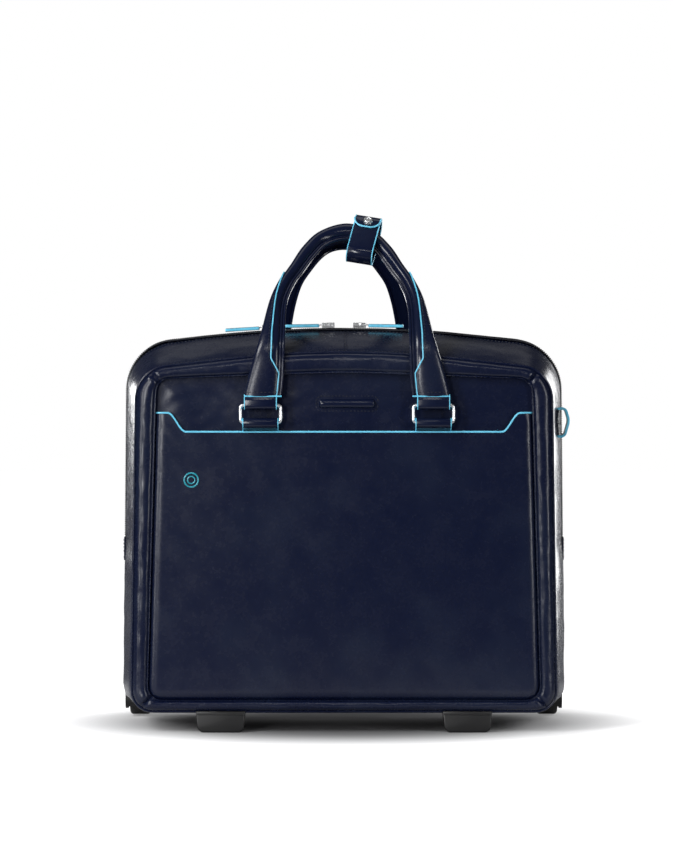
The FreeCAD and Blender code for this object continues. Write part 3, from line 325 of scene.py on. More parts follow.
def edge_paint(f):
    """Glossy paint built up on a cut edge, a little uneven."""
    tone = f.mix(f.ramp(f.noise(210, 2.0), 0.35, 0.7) * 0.45, colour("edge_paint"),
                 (0.09, 0.46, 0.7, 1))
    return f.set(Base_Color=tone, Roughness=f.noise(300, 2.0) * 0.2 + 0.22,
                 Normal=f.bump(f.noise(420, 3.0), 0.25, 0.6))


def sewing_thread(f):
    """Twisted waxed thread."""
    twist = f.node("ShaderNodeTexWave", {"bands_direction": "DIAGONAL"},
                   {"Vector": f.place(), "Scale": 900.0, "Distortion": 1.5})[1]
    tone = f.mix(twist * 0.6, colour("thread"), (0.02, 0.026, 0.045, 1))
    return f.set(Base_Color=tone, Roughness=f.noise(500) * 0.1 + 0.5, Normal=f.bump(twist, 0.12))


def chrome(f):
    """Polished plated metal with a trace of hairlines."""
    haze = f.noise(60, 3.0)
    return f.set(Base_Color=f.mix(haze * 0.5, (0.93, 0.94, 0.95, 1), (0.8, 0.81, 0.84, 1)),
                 Metallic=1.0, Roughness=haze * 0.08 + 0.27,
                 Normal=f.bump(f.noise(160, 2.0), 0.02, 0.2))


def satin_alloy(f):
    """Drawn and anodised tube with lines along its length."""
    lines = f.noise(1400, 2.0, (1, 1, 0.012))
    return f.set(Base_Color=f.mix(lines * 0.6, (0.50, 0.51, 0.53, 1), (0.62, 0.63, 0.65, 1)),
                 Metallic=1.0, Roughness=lines * 0.14 + 0.24, Normal=f.bump(lines, 0.03, 0.5))


def moulded_plastic(f):
    """Textured black plastic with patches of dust."""
    stipple = f.noise(1600, 2.0)
    dust = f.ramp(f.noise(26, 3.0), 0.45, 0.75)
    return f.set(Base_Color=f.mix(dust * 0.45, colour("plastic"), (0.011, 0.011, 0.012, 1)),
                 Roughness=f.noise(90) * 0.14 + 0.36,
                 Normal=f.bump(stipple, 0.06, 0.4))


def grip_plastic(f):
    """Smoother plastic, polished by the hand."""
    worn = f.noise(40, 3.0)
    return f.set(Base_Color=f.mix(worn * 0.5, (0.014, 0.014, 0.016, 1), (0.026, 0.026, 0.03, 1)),
                 Roughness=worn * 0.16 + 0.26, Normal=f.bump(f.noise(1100, 2.0), 0.04, 0.4))


def tyre_rubber(f):
    """Matt rubber with scuffs."""
    scuff = f.ramp(f.noise(120, 4.0), 0.5, 0.72)
    return f.set(Base_Color=f.mix(scuff * 0.5, colour("rubber"), (0.04, 0.038, 0.036, 1)),
                 Roughness=scuff * 0.15 + 0.62, Normal=f.bump(f.noise(700, 3.0), 0.12, 0.5))


def woven(f, tone, second, pitch):
    """Plain weave: ridges along each axis. pitch is the number of threads per metre."""
    warp, weft, side = [f.node("ShaderNodeTexWave", {"bands_direction": axis},
                               {"Vector": f.place(), "Scale": pitch / 20})[1] for axis in "XZY"]
    ridges = (warp + weft + side) * 0.33
    return f.set(Base_Color=f.mix(ridges * 0.8 + f.noise(35) * 0.2, tone, second),
                 Roughness=ridges * 0.1 + 0.78, Normal=f.bump(ridges, 0.2, 0.7))


def badge_enamel(f):
    """Teal enamel."""
    return f.set(Base_Color=f.mix(f.noise(300) * 0.5, colour("badge"), (0.03, 0.38, 0.46, 1)),
                 Roughness=f.noise(500) * 0.1 + 0.2, Normal=f.bump(f.noise(600), 0.05, 0.4))


def brushed_steel(f):
    """Brushed steel of axles and screws."""
    lines = f.noise(1500, 2.0, (0.02, 1, 1))
    return f.set(Base_Color=f.mix(lines, (0.42, 0.42, 0.43, 1), (0.6, 0.6, 0.6, 1)), Metallic=1.0,
                 Roughness=lines * 0.15 + 0.28, Normal=f.bump(lines, 0.03, 0.5))


RECIPES = {
    "navy_leather": polished_leather,
    "rolled_leather": lambda f: polished_leather(f, grain=0.7, shine=0.06),
    "blue_edge": edge_paint,
    "thread": sewing_thread,
    "chrome_fittings": chrome,
    "tube_alloy": satin_alloy,
    "black_plastic": moulded_plastic,
    "grip_plastic": grip_plastic,
    "tyre": tyre_rubber,
    "lining": lambda f: woven(f, colour("lining"), (0.055, 0.085, 0.14, 1), 1600),
    "zip_tape": lambda f: woven(f, (0.008, 0.009, 0.014, 1), (0.02, 0.022, 0.03, 1), 2200),
    "teal_badge": badge_enamel,
    "steel": brushed_steel,
}


# ---------------------------------------------------------------------------------------------
# Outlines and paths
# ---------------------------------------------------------------------------------------------
def rounded(corners, closed=True, step=math.radians(7)):
    """Points along a flat line whose corners, (across, up, radius), are rounded to arcs."""
    points = []
    count = len(corners)
    for index, (across, up, radius) in enumerate(corners):
        corner = Vector((across, up))
        if not radius or (not closed and index in (0, count - 1)):
            points.append(corner)
            continue
        back = (Vector(corners[index - 1][:2]) - corner).normalized()
        ahead = (Vector(corners[(index + 1) % count][:2]) - corner).normalized()
        half = back.angle(ahead) / 2
        centre = corner + (back + ahead).normalized() * (radius / math.sin(half))
        start = corner + back * (radius / math.tan(half)) - centre
        turn = math.pi - 2 * half
        if back.x * ahead.y - back.y * ahead.x > 0:
            turn = -turn
        steps = max(2, round(abs(turn) / step), round(abs(turn) * radius / 25))
        points += [centre + Matrix.Rotation(turn * k / steps, 2) @ start for k in range(steps + 1)]
    return points


def lengths(points):
    """How far along a line each of its points is."""
    run = [0.0]
    for a, b in zip(points, points[1:]):
        run.append(run[-1] + (b - a).length)
    return run


def spread(points, pitch, closed=False, margin=0.0):
    """Evenly spaced places along a line in space: pairs of a point and the direction there."""
    line = points + points[:1] if closed else points
    run = lengths(line)
    count = max(1, int((run[-1] - 2 * margin) / pitch))
    step = (run[-1] - 2 * margin) / count
    places, index = [], 0
    for k in range(count if closed else count + 1):
        at = min(margin + k * step, run[-1])
        while index < len(line) - 2 and run[index + 1] < at:
            index += 1
        a, b = line[index], line[index + 1]
        share = (at - run[index]) / max(run[index + 1] - run[index], 1e-9)
        places.append((a.lerp(b, share), (b - a).normalized()))
    return places


def smooth(low, high, value):
    """0 below low, 1 above high and an even curve between."""
    share = min(max((value - low) / (high - low), 0.0), 1.0)
    return share * share * (3 - 2 * share)


def section_line(section, foot_z=None, lift=0.0):
    """The closed outline of a section from its foot's middle towards +X, lifted outwards."""
    foot = (FLOOR_Z if foot_z is None else foot_z) - lift
    foot_half, top_half = section.foot_half + lift, section.top_half + lift
    base, corner = max(section.base + lift, 1), max(section.corner + lift, 1)
    right = [(foot_half, foot, base), (top_half, section.corner_z + lift, corner)]
    left = [(-x, z, radius) for x, z, radius in reversed(right)]
    return rounded([(0, foot, 0), *right, (0, section.apex_z + lift, section.arch), *left])


def bearings(count):
    """Directions from the heart of the case that space points evenly round its front."""
    line = section_line(FRONT)
    places = spread([p.to_3d() for p in line], 1.0, closed=True)
    total = len(places)
    chosen = [places[int(k * total / count)][0].xy - HEART for k in range(count)]
    return np.unwrap([math.atan2(p.y, p.x) for p in chosen])


def along_bearings(line, angles):
    """Where each direction from the heart of the case meets a closed outline."""
    dense = [p.xy - HEART for p, _ in spread([q.to_3d() for q in line], 0.8, closed=True)]
    own = np.unwrap([math.atan2(p.y, p.x) for p in dense])
    across = np.interp(angles, own, [p.x for p in dense], period=2 * math.pi)
    up = np.interp(angles, own, [p.y for p in dense], period=2 * math.pi)
    return [Vector((x, z)) + HEART for x, z in zip(across, up)]


def outward(ring):
    """The outward direction at each point of a closed outline that runs from the foot to +X."""
    count = len(ring)
    return [Vector(((ring[(i + 1) % count] - ring[i - 1]).y,
                    -(ring[(i + 1) % count] - ring[i - 1]).x)).normalized() for i in range(count)]


def ribbon(path, half):
    """The closed outline of a strap seen on its edge: a flat path with half a thickness each way."""
    first, second = [], []
    for index, point in enumerate(path):
        run = path[min(index + 1, len(path) - 1)] - path[max(index - 1, 0)]
        side = Vector((-run.y, run.x)).normalized() * half
        first.append(point + side)
        second.append(point - side)
    return first + second[::-1]


# ---------------------------------------------------------------------------------------------
# Mesh building
# ---------------------------------------------------------------------------------------------
def skin(rings, ring_closed=True, wrap=False):
    """A skin through rings of points: the first ring's edges extruded and moved to the next."""
    bm = bmesh.new()
    verts = [bm.verts.new(p) for p in rings[0]]
    pairs = list(zip(verts, verts[1:])) + ([(verts[-1], verts[0])] if ring_closed else [])
    edges = [bm.edges.new(pair) for pair in pairs]
    first = list(edges)
    for ring in rings[1:]:
        made = bmesh.ops.extrude_edge_only(bm, edges=edges)["geom"]
        fresh = {item for item in made if isinstance(item, bmesh.types.BMVert)}
        verts = [next(edge.other_vert(vert) for edge in vert.link_edges
                      if edge.other_vert(vert) in fresh) for vert in verts]
        edges = [item for item in made if isinstance(item, bmesh.types.BMEdge)
                 and item.verts[0] in fresh and item.verts[1] in fresh]
        for vert, point in zip(verts, ring):
            vert.co = point
    if wrap:
        bmesh.ops.bridge_loops(bm, edges=first + edges)
    return bm


def close_ends(bm):
    """Fill the open ends of a skin and turn its faces outwards."""
    open_edges = [edge for edge in bm.edges if len(edge.link_faces) == 1]
    bmesh.ops.holes_fill(bm, edges=open_edges, sides=0)
    bmesh.ops.recalc_face_normals(bm, faces=bm.faces)
    return bm


def thicken(bm, depth, outward_point=None):
    """Give an open skin a wall, inwards from its faces."""
    bmesh.ops.recalc_face_normals(bm, faces=bm.faces)
    if outward_point is not None:
        face = min(bm.faces, key=lambda f: (f.calc_center_median() - outward_point).length)
        if (outward_point - face.calc_center_median()).dot(face.normal) < 0:
            bmesh.ops.reverse_faces(bm, faces=bm.faces)
    bmesh.ops.solidify(bm, geom=bm.faces[:], thickness=depth)
    return bm


def slab(outline, along, bevel=0.0, segments=2):
    """A plate: a closed outline in space, extruded along a vector, its rims bevelled."""
    bm = bmesh.new()
    face = bm.faces.new([bm.verts.new(p) for p in outline])
    made = bmesh.ops.extrude_face_region(bm, geom=[face])["geom"]
    top = [item for item in made if isinstance(item, bmesh.types.BMVert)]
    bmesh.ops.translate(bm, verts=top, vec=along)
    bmesh.ops.recalc_face_normals(bm, faces=bm.faces)
    if bevel:
        rims = [edge for edge in bm.edges if len(edge.link_faces) == 2
                and max(len(f.verts) for f in edge.link_faces) > 4]
        bmesh.ops.bevel(bm, geom=rims, offset=bevel, segments=segments, profile=0.5,
                        affect="EDGES", material=-1, clamp_overlap=True)
    return bm


def block(low, high, radius, segments=3):
    """A box with all its edges rounded."""
    bm = bmesh.new()
    low, high = Vector(low), Vector(high)
    bmesh.ops.create_cube(bm, size=1.0)
    bmesh.ops.scale(bm, vec=high - low, verts=bm.verts)
    bmesh.ops.translate(bm, vec=(low + high) / 2, verts=bm.verts)
    bmesh.ops.bevel(bm, geom=bm.edges[:], offset=radius, segments=segments, profile=0.5,
                    affect="EDGES", material=-1)
    return bm


def tube(points, radius, closed=False, resolution=2):
    """A round cord along points in space."""
    curve = bpy.data.curves.new("path", "CURVE")
    curve.dimensions = "3D"
    curve.bevel_depth, curve.bevel_resolution, curve.use_fill_caps = radius, resolution, True
    spline = curve.splines.new("POLY")
    spline.points.add(len(points) - 1)
    for knot, point in zip(spline.points, points):
        knot.co = (*point, 1.0)
    spline.use_cyclic_u = closed
    carrier = bpy.data.objects.new("path", curve)
    mesh = bpy.data.meshes.new_from_object(carrier)
    bm = bmesh.new()
    bm.from_mesh(mesh)
    bpy.data.objects.remove(carrier)
    bpy.data.curves.remove(curve)
    bpy.data.meshes.remove(mesh)
    bmesh.ops.recalc_face_normals(bm, faces=bm.faces)
    return bm


def join(*parts):
    """Several meshes in one."""
    bm = parts[0]
    for part in parts[1:]:
        mesh = bpy.data.meshes.new("part")
        part.to_mesh(mesh)
        part.free()
        bm.from_mesh(mesh)
        bpy.data.meshes.remove(mesh)
    return bm


def repeat(make, places):
    """A small shape, made once, set at each (matrix)."""
    unit = bmesh.new()
    make(unit)
    mesh = bpy.data.meshes.new("unit")
    unit.to_mesh(mesh)
    unit.free()
    bm = bmesh.new()
    for matrix in places:
        start = len(bm.verts)
        bm.from_mesh(mesh)
        bm.verts.ensure_lookup_table()
        bmesh.ops.transform(bm, matrix=matrix, verts=bm.verts[start:])
    bpy.data.meshes.remove(mesh)
    return bm


def facing(point, along, up):
    """A place whose X runs along a direction and whose Z leans towards up."""
    x = along.normalized()
    y = up.cross(x).normalized()
    z = x.cross(y)
    turn = Matrix((x, y, z)).transposed().to_4x4()
    return Matrix.Translation(point) @ turn


def stitches(line, up, closed=False, margin=1.5):
    """A row of stitches on a line in space. up is the way off the leather, fixed or per point."""
    def one(bm):
        bmesh.ops.create_uvsphere(bm, u_segments=6, v_segments=4, radius=1.0)
        bmesh.ops.scale(bm, vec=(size("stitch_pitch") * 0.36, size("thread"), size("thread")),
                        verts=bm.verts)
    places = [facing(point, along, up(point) if callable(up) else up)
              for point, along in spread(line, size("stitch_pitch"), closed, margin)]
    return repeat(one, places)


# Hinge marks for pieces near the lower end of the zip; put reads only that one is given, not its start
# and end.
FRONT_HINGE = dict(start=(0, -0.017, 0.190), end=(0, -0.040, 0.230))
LOWER_HINGE = dict(start=(0, -0.012, 0.193), end=(0, -0.105, 0.193))


def put(bm, name, body, material, replaces=(), sharp=38, hinge=None):
    """Finish a mesh as a piece of the case: scaled to metres, shaded, painted and on its body.

    With a hinge its transform is baked and it is put on no body instead; the hinge's start and end are
    not read.
    """
    bmesh.ops.scale(bm, vec=(MM, MM, MM), verts=bm.verts)
    for edge in bm.edges:
        if len(edge.link_faces) == 2:
            edge.smooth = edge.calc_face_angle(0.0) < math.radians(sharp)
    for face in bm.faces:
        face.smooth = True
    mesh = bpy.data.meshes.new(name)
    bm.to_mesh(mesh)
    bm.free()
    piece = bpy.data.objects.new(name, mesh)
    bpy.context.scene.collection.objects.link(piece)
    piece.data.materials.append(finish(material))
    if hinge:
        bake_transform(piece)
    else:
        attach(piece, body)
    if replaces:
        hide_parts(*replaces)
    return piece


# ---------------------------------------------------------------------------------------------
# The case's skin
# ---------------------------------------------------------------------------------------------
RING_COUNT = 420
SIDES = (("left", -1), ("right", 1))


def ripple(point, scale, amount):
    """A small uneven lift of the leather at a place."""
    return noise.noise(Vector(point) / scale) * amount


def case_ring(y, lines, lift=0.0):
    """The case's outline at a depth, swollen between its seams."""
    front, middle, back = lines
    if y <= ZIP_Y:
        share = (y - FRONT_Y) / (ZIP_Y - FRONT_Y)
        rise = share
        puff = size("gusset_puff") * math.sin(math.pi * min(max(share, 0), 1)) ** 0.7
        first, second = front, middle
    else:
        share = (y - ZIP_Y) / (BACK_Y - ZIP_Y)
        rise = smooth(0.25, 1.15, share) / smooth(0.25, 1.15, 1.0)
        puff = size("gusset_puff") * 0.8 * math.sin(math.pi * share) ** 0.7
        first, second = middle, back
    ring = [a.lerp(b, rise) for a, b in zip(first, second)]
    points = []
    for place, way in zip(ring, outward(ring)):
        swell = puff * (0.35 if place.y < FLOOR_Z + 12 else 1.0)
        wave = ripple((place.x, y, place.y), 34, 0.9) + ripple((place.x, y * 2, place.y), 11, 0.3)
        low_side = smooth(SPLIT_Z + 2, SPLIT_Z - 26, place.y) * 1.4
        moved = place + way * (lift + swell + wave * min(1.0, puff) + low_side * min(1, puff))
        points.append(Vector((moved.x, y, moved.y)))
    return points


def case_lines():
    """The front, middle and back outlines on shared bearings."""
    angles = bearings(RING_COUNT)
    return [along_bearings(section_line(section), angles) for section in (FRONT, MIDDLE, BACK)]


def stations(low, high, pitch):
    """Evenly spaced depths from low to high, both included."""
    count = max(2, round((high - low) / pitch))
    return [low + (high - low) * k / count for k in range(count + 1)]


def left_to_right(points):
    """Points over the top of the case, in order from its left side to its right."""
    return sorted(points, key=lambda p: math.atan2(p.x, p.z - HEART.y))


def off_case(point):
    """The way off the case at a point of its skin."""
    return Vector((point.x, 0, point.z - HEART.y)).normalized()


def gusset(low_y, high_y, keep_top, lift=0.0, depth=None):
    """One gusset of the case between two depths, above or below the split."""
    lines = case_lines()
    bm = skin([case_ring(y, lines, lift) for y in stations(low_y, high_y, 4.5)])
    bmesh.ops.bisect_plane(bm, geom=bm.verts[:] + bm.edges[:] + bm.faces[:],
                           plane_co=(0, 0, SPLIT_Z - (0.0 if keep_top else 0.3)),
                           plane_no=(0, 0, 1), clear_inner=keep_top, clear_outer=not keep_top)
    apex = Vector((0, (low_y + high_y) / 2, 900 if keep_top else -500))
    return thicken(bm, size("leather") if depth is None else depth, apex)


class CASE_OT_gussets(bpy.types.Operator):
    """Leather over the top, sides and floor, with its seams and stitches"""
    bl_idname = "case.gussets"
    bl_label = "Gussets"

    def execute(self, context):
        put(gusset(FRONT_Y, ZIP_Y - ZIP_GAP, True), "front_gusset_leather", "front_section",
            "navy_leather", ("front_gusset",), hinge=FRONT_HINGE)
        put(gusset(ZIP_Y + ZIP_GAP, BACK_Y, True), "rear_gusset_leather", "case", "navy_leather",
            ("rear_gusset",))
        lower = gusset(FRONT_Y + 0.3, BACK_Y, False)
        for label, side in SIDES:
            well = span(f"wheel_housing_{label}")
            inner_x = min(abs(well.low.x), abs(well.high.x))
            gone = []
            for face in lower.faces:
                x, y, z = face.calc_center_median()
                if y > well.low.y - 1 and z < well.high.z + 1 and x * side > 0 and abs(x) > inner_x - 1:
                    gone.append(face)
            bmesh.ops.delete(lower, geom=gone, context="FACES")
        bmesh.ops.holes_fill(lower, edges=[e for e in lower.edges if len(e.link_faces) == 1], sides=4)
        put(lower, "lower_gusset_leather", "case", "navy_leather", ("lower_gusset",),
            hinge=LOWER_HINGE)
        lines = case_lines()

        def seam_stitches(name, y, lift, body, hinge):
            row = [p for p in case_ring(y, lines, lift) if p.z > SPLIT_Z + 4]
            put(stitches(left_to_right(row), off_case), name, body, "thread", hinge=hinge)
        seam_stitches("zip_seam_stitches_front_section", ZIP_Y - 11, 0.15, "front_section",
                      FRONT_HINGE)
        seam_stitches("zip_seam_stitches_case", ZIP_Y + 11, 0.15, "case", None)
        for at in (0.3, 2.6):
            crest = []
            for y in stations(FRONT_Y + 1, ZIP_Y - 9, 4):
                ring = [p for p in case_ring(y, lines) if p.z > HEART.y + 100]
                near = min(ring, key=lambda p: abs(p.x - at))
                crest.append(Vector((at, y, near.z - 0.05)))
            put(tube(crest, 0.55), f"crown_seam_{int(at)}", "front_section", "navy_leather")
        seam_stitches("front_seam_stitches", FRONT_Y + 4, 0.2, "front_section", FRONT_HINGE)
        return {"FINISHED"}


class CASE_OT_piping(bpy.types.Operator):
    """Piping round the front and back faces"""
    bl_idname = "case.piping"
    bl_label = "Piping"

    def execute(self, context):
        for name, section, y, body, stood_for in (
                ("front_piping", FRONT, FRONT_Y - 1.2, "front_section", ("edge_piping",)),
                ("back_piping", BACK, BACK_Y + 0.6, "case", ())):
            line = [Vector((p.x, y, p.y)) for p in section_line(section, lift=0.9)]
            line = [p for p, _ in spread(line, 5, closed=True)]
            if name == "back_piping":
                foot_z = span("wheel_housing_left").high.z + 2
                line = left_to_right([p for p in line if p.z > foot_z])
            put(tube(line, size("piping"), closed=name == "front_piping"), name, body,
                "rolled_leather", stood_for)
        return {"FINISHED"}


# ---------------------------------------------------------------------------------------------
# The front: padded strips, panel and pocket
# ---------------------------------------------------------------------------------------------
# Where the mitred seams meet the opening: across, up and the way they run.
MITRES = ((OPENING.top_half - 3, OPENING.corner_z - 3, 1),
          (OPENING.foot_half - 4, OPENING_FOOT + 4, -1))


def mitre_distance(point):
    """How far a point of the front is from the nearest mitred seam."""
    best = 1000.0
    for across, up, way in MITRES:
        run = Vector((abs(point.x) - across, (point.y - up) * way))
        if run.x + run.y > -2:
            best = min(best, abs(run.x - run.y) / math.sqrt(2))
    return best


class CASE_OT_strips(bpy.types.Operator):
    """Four padded strips round the front, sewn together at mitred corners"""
    bl_idname = "case.strips"
    bl_label = "Padded strips"

    def execute(self, context):
        angles = bearings(760)
        outer = along_bearings(section_line(FRONT), angles)
        inner = along_bearings(section_line(OPENING, foot_z=OPENING_FOOT), angles)
        back_y, rise = STRIPS.high.y, STRIPS.high.y - STRIPS.low.y
        profile = [(0.0, 0.0), (0.0, 0.22), (0.03, 0.42), (0.09, 0.62), (0.18, 0.80), (0.30, 0.93),
                   (0.44, 1.0), (0.58, 1.0), (0.70, 0.95), (0.80, 0.86), (0.86, 0.72), (0.885, 0.62),
                   (0.90, 0.66), (0.93, 0.74), (0.965, 0.76), (0.99, 0.70), (1.0, 0.52), (1.0, 0.0)]
        rings = []
        for share, height in profile:
            ring = []
            for a, b in zip(outer, inner):
                place = a.lerp(b, share)
                gap = mitre_distance(place)
                crease = 1 - 0.5 * math.exp(-(gap / 1.5) ** 2) + 0.07 * math.exp(-((gap - 5) / 3) ** 2)
                wave = 1 + ripple((place.x, place.y, share * 40), 23, 0.10) + ripple(
                    (place.x, place.y, 7), 8, 0.035)
                tuck = height * crease * (wave if 0.1 < share < 0.9 else 1)
                ring.append(Vector((place.x, back_y - rise * tuck, place.y)))
            rings.append(ring)
        bm = skin(rings, wrap=True)
        bmesh.ops.recalc_face_normals(bm, faces=bm.faces)
        strips = put(bm, "front_strips_leather", "front_section", "navy_leather", ("front_frame",),
                     sharp=60)
        line = [p.to_3d() for p in section_line(FRONT, lift=-1.6)]
        seam = [Vector((p.x, back_y - rise * 0.44, p.y)) for p, _ in spread(line, 4, closed=True)]
        put(stitches(seam, FORWARD, closed=True), "front_strip_stitches", "front_section",
            "thread")
        return {"FINISHED"}


def pocket_top(x):
    """The height of the pocket's mouth: low and straight, with an ear at each side."""
    low, high = POCKET.high.z - 19, POCKET.high.z
    return low + (high - low) * smooth(165, 184.5, abs(x))


def opening_half(z):
    """Half the width of the frame's opening at a height."""
    share = (z - OPENING_FOOT) / (OPENING.corner_z - OPENING_FOOT)
    return OPENING.foot_half + (OPENING.top_half - OPENING.foot_half) * share


def pocket_foot(x):
    """The height of the pocket's lower edge, rounded up at its ends."""
    over = max(0.0, abs(x) - (OPENING.foot_half - OPENING.base))
    drop = OPENING.base - math.sqrt(max(0.0, OPENING.base ** 2 - over ** 2))
    return OPENING_FOOT + drop


def pocket_point(share_x, share_z):
    """A place on the face of the pocket. Both shares run from 0 to 1."""
    x = (share_x * 2 - 1) * OPENING.foot_half
    x = math.copysign(min(abs(x), OPENING.foot_half - 0.01), x)
    low, high = pocket_foot(x), pocket_top(x)
    z = low + (high - low) * share_z
    narrow = opening_half(z) / OPENING.foot_half
    side = (1 - abs(x) / OPENING.foot_half) * OPENING.foot_half
    tuck = math.sqrt(1 - (1 - min(side / 10, 1.0)) ** 2) * math.sqrt(
        1 - (1 - min((z - low) / 10, 1.0)) ** 2)
    crown = 1.5 * math.sin(math.pi * share_x) * math.sin(math.pi * min(share_z, 0.9) / 0.9) ** 0.6
    ear = smooth(0.72, 0.95, abs(x) / OPENING.foot_half) * smooth(0.6, 1.0, share_z)
    folds = (ripple((x, z, 3), 75, 1.5) + ripple((x * 1.4 + z, z * 0.6, 9), 26, 0.5)
             + ear * ripple((x + z * 0.8, z * 0.35, 5), 9, 0.9))
    y = POCKET.high.y - 1.2 - tuck * 4.6 - (crown + folds * 0.4) * tuck
    return Vector((x * narrow, y, z))


class CASE_OT_pocket(bpy.types.Operator):
    """The big front pocket, its painted mouth and its seams"""
    bl_idname = "case.pocket"
    bl_label = "Front pocket"

    def execute(self, context):
        bm = bmesh.new()
        bmesh.ops.create_grid(bm, x_segments=200, y_segments=130, size=0.5)
        for vert in bm.verts:
            vert.co = pocket_point(vert.co.x + 0.5, vert.co.y + 0.5)
        thicken(bm, size("leather"), Vector((0, -900, 180)))
        pocket = put(bm, "front_pocket_leather", "front_section", "navy_leather",
                     ("front_pocket",))
        mouth = [pocket_point(k / 300, 1.0) + Vector((0, 0.5, 0.2)) for k in range(301)]
        put(tube(mouth, size("edge") * 1.15), "pocket_painted_edge", "front_section", "blue_edge",
            ("pocket_binding",))
        seam = [p + Vector((0, -0.12, -3.4)) for p in mouth[4:-4]]
        put(stitches(seam, FORWARD), "pocket_mouth_stitches", "front_section", "thread")
        return {"FINISHED"}


class CASE_OT_front_panel(bpy.types.Operator):
    """The recessed panel above the pocket"""
    bl_idname = "case.front_panel"
    bl_label = "Front panel"

    def execute(self, context):
        bm = bmesh.new()
        bmesh.ops.create_grid(bm, x_segments=190, y_segments=80, size=0.5)
        for vert in bm.verts:
            x = vert.co.x * 2 * (OPENING.foot_half + 4)
            crown = FRONT_PANEL.high.z - 4 - 0.0004 * x * x
            z = 250 + (crown - 250) * (vert.co.y + 0.5)
            narrow = (opening_half(z) + 4) / (OPENING.foot_half + 4)
            edge = min(opening_half(z) - abs(x * narrow), OPENING.apex_z - 4 - z)
            swell = 0.9 * smooth(0, 26, edge)
            folds = ripple((x, z, 21), 48, 1.1) + ripple((x, z * 2, 4), 17, 0.4)
            ring = min(abs(abs(x - RING_X) - RING_PITCH) / 30, 1.0)
            y = FRONT_PANEL.low.y - 0.4 - swell - folds * smooth(0, 20, edge) * (0.4 + 0.6 * ring)
            vert.co = (x * narrow, y, z)
        thicken(bm, 1.2, Vector((0, -900, 320)))
        put(bm, "front_panel_leather", "front_section", "navy_leather", ("front_panel",))
        return {"FINISHED"}


class CASE_OT_bar(bpy.types.Operator):
    """The small padded bar sewn on the panel"""
    bl_idname = "case.bar"
    bl_label = "Padded bar"

    def execute(self, context):
        low, high = BAR
        bar = bmesh.new()
        bmesh.ops.create_uvsphere(bar, u_segments=40, v_segments=20, radius=1.0)
        bmesh.ops.rotate(bar, cent=(0, 0, 0), matrix=Matrix.Rotation(math.pi / 2, 3, "Y"),
                         verts=bar.verts)
        half_x, half_z = (high.x - low.x) / 2, (high.z - low.z) / 2
        for vert in bar.verts:
            reach = max(-1.0, min(1.0, vert.co.x / 0.35))
            across = vert.co.x * half_z + reach * (half_x - half_z)
            waist = 1 - 0.16 * (1 - (across / half_x) ** 2)
            vert.co = (across + (low.x + high.x) / 2, high.y - 0.9 + vert.co.y * 5.2 * waist,
                       vert.co.z * half_z * waist + (low.z + high.z) / 2)
        pad = put(bar, "embossed_bar_leather", "front_section", "rolled_leather",
                  ("embossed_bar",))
        middle = (low + high) / 2
        line = [Vector((p.x + middle.x, high.y - 1.6, p.y + middle.z)) for p in rounded(
            [(half_x + 2, half_z + 2, half_z), (-half_x - 2, half_z + 2, half_z),
             (-half_x - 2, -half_z - 2, half_z), (half_x + 2, -half_z - 2, half_z)])]
        put(stitches(line, FORWARD, closed=True), "embossed_bar_stitches", "front_section",
            "thread")
        return {"FINISHED"}


class CASE_OT_badge(bpy.types.Operator):
    """A plain round mark: two rings, one inside the other"""
    bl_idname = "case.badge"
    bl_label = "Badge"

    def execute(self, context):
        middle = (BADGE.low + BADGE.high) / 2
        outer = (BADGE.high.x - BADGE.low.x) / 2
        face_y = pocket_point((middle.x / OPENING.foot_half + 1) / 2, 0.82).y - 0.1

        def circle(radius):
            return [Vector((middle.x + radius * math.cos(a), face_y - 0.3,
                            middle.z + radius * math.sin(a)))
                    for a in (math.tau * k / 40 for k in range(40))]
        ring = join(tube(circle(outer - 1), 0.85, closed=True),
                    tube(circle(outer - 4.4), 0.7, closed=True))
        put(ring, "pocket_badge_ring", "front_section", "teal_badge", ("pocket_badge",))
        return {"FINISHED"}


# ---------------------------------------------------------------------------------------------
# Straps, rings and handles
# ---------------------------------------------------------------------------------------------
def strap(name, path, place, low, high, body, replaces=(), half=1.0, plane="YZ"):
    """A strap whose edge follows a flat path, with painted edges at both ends.

    place is added to the path, and low and high are where the strap starts and ends across it.
    """
    def outline(at, half_here):
        flat = [p + place for p in ribbon(path, half_here)]
        if plane == "YZ":
            return [Vector((at, p.x, p.y)) for p in flat]
        return [Vector((p.x, at, p.y)) for p in flat]
    across = Vector((1, 0, 0)) if plane == "YZ" else Vector((0, 1, 0))
    core = slab(outline(low + 0.5, half), across * (high - low - 1.0), 0.25)
    edges = join(*[slab(outline(at, half + 0.12), across * 0.9, 0.3)
                   for at in (low, high - 0.9)])
    put(core, name, body, "rolled_leather", replaces)
    put(edges, name + "_edges", body, "blue_edge")


def ring_wire(name, x, y, low_z, high_z, width, body, stood_for):
    """A rectangular ring of round wire with rounded corners."""
    half, reach = width / 2 - RING_WIRE / 2, 3.4
    line = rounded([(half, low_z, reach), (half, high_z, reach), (-half, high_z, reach),
                    (-half, low_z, reach)])
    put(tube([Vector((x + p.x, y, p.y)) for p in line], RING_WIRE / 2, closed=True, resolution=4),
        name, body, "chrome_fittings", (stood_for,))


class CASE_OT_rings(bpy.types.Operator):
    """The four rings that the carry handles hang on"""
    bl_idname = "case.rings"
    bl_label = "Rings"

    def execute(self, context):
        for label, side in SIDES:
            ring_wire(f"front_ring_{label}", RING_X + side * RING_PITCH, RING_Y, RING_LOW, RING_HIGH,
                      RING_WIDTH, "front_ring_pair", "front_rings")
            ring_wire(f"rear_ring_{label}", side * REAR_RING_X, REAR_RING_Y, REAR_RING_LOW,
                      REAR_RING_HIGH, REAR_RING_WIDTH, "case", "rear_rings")
        return {"FINISHED"}


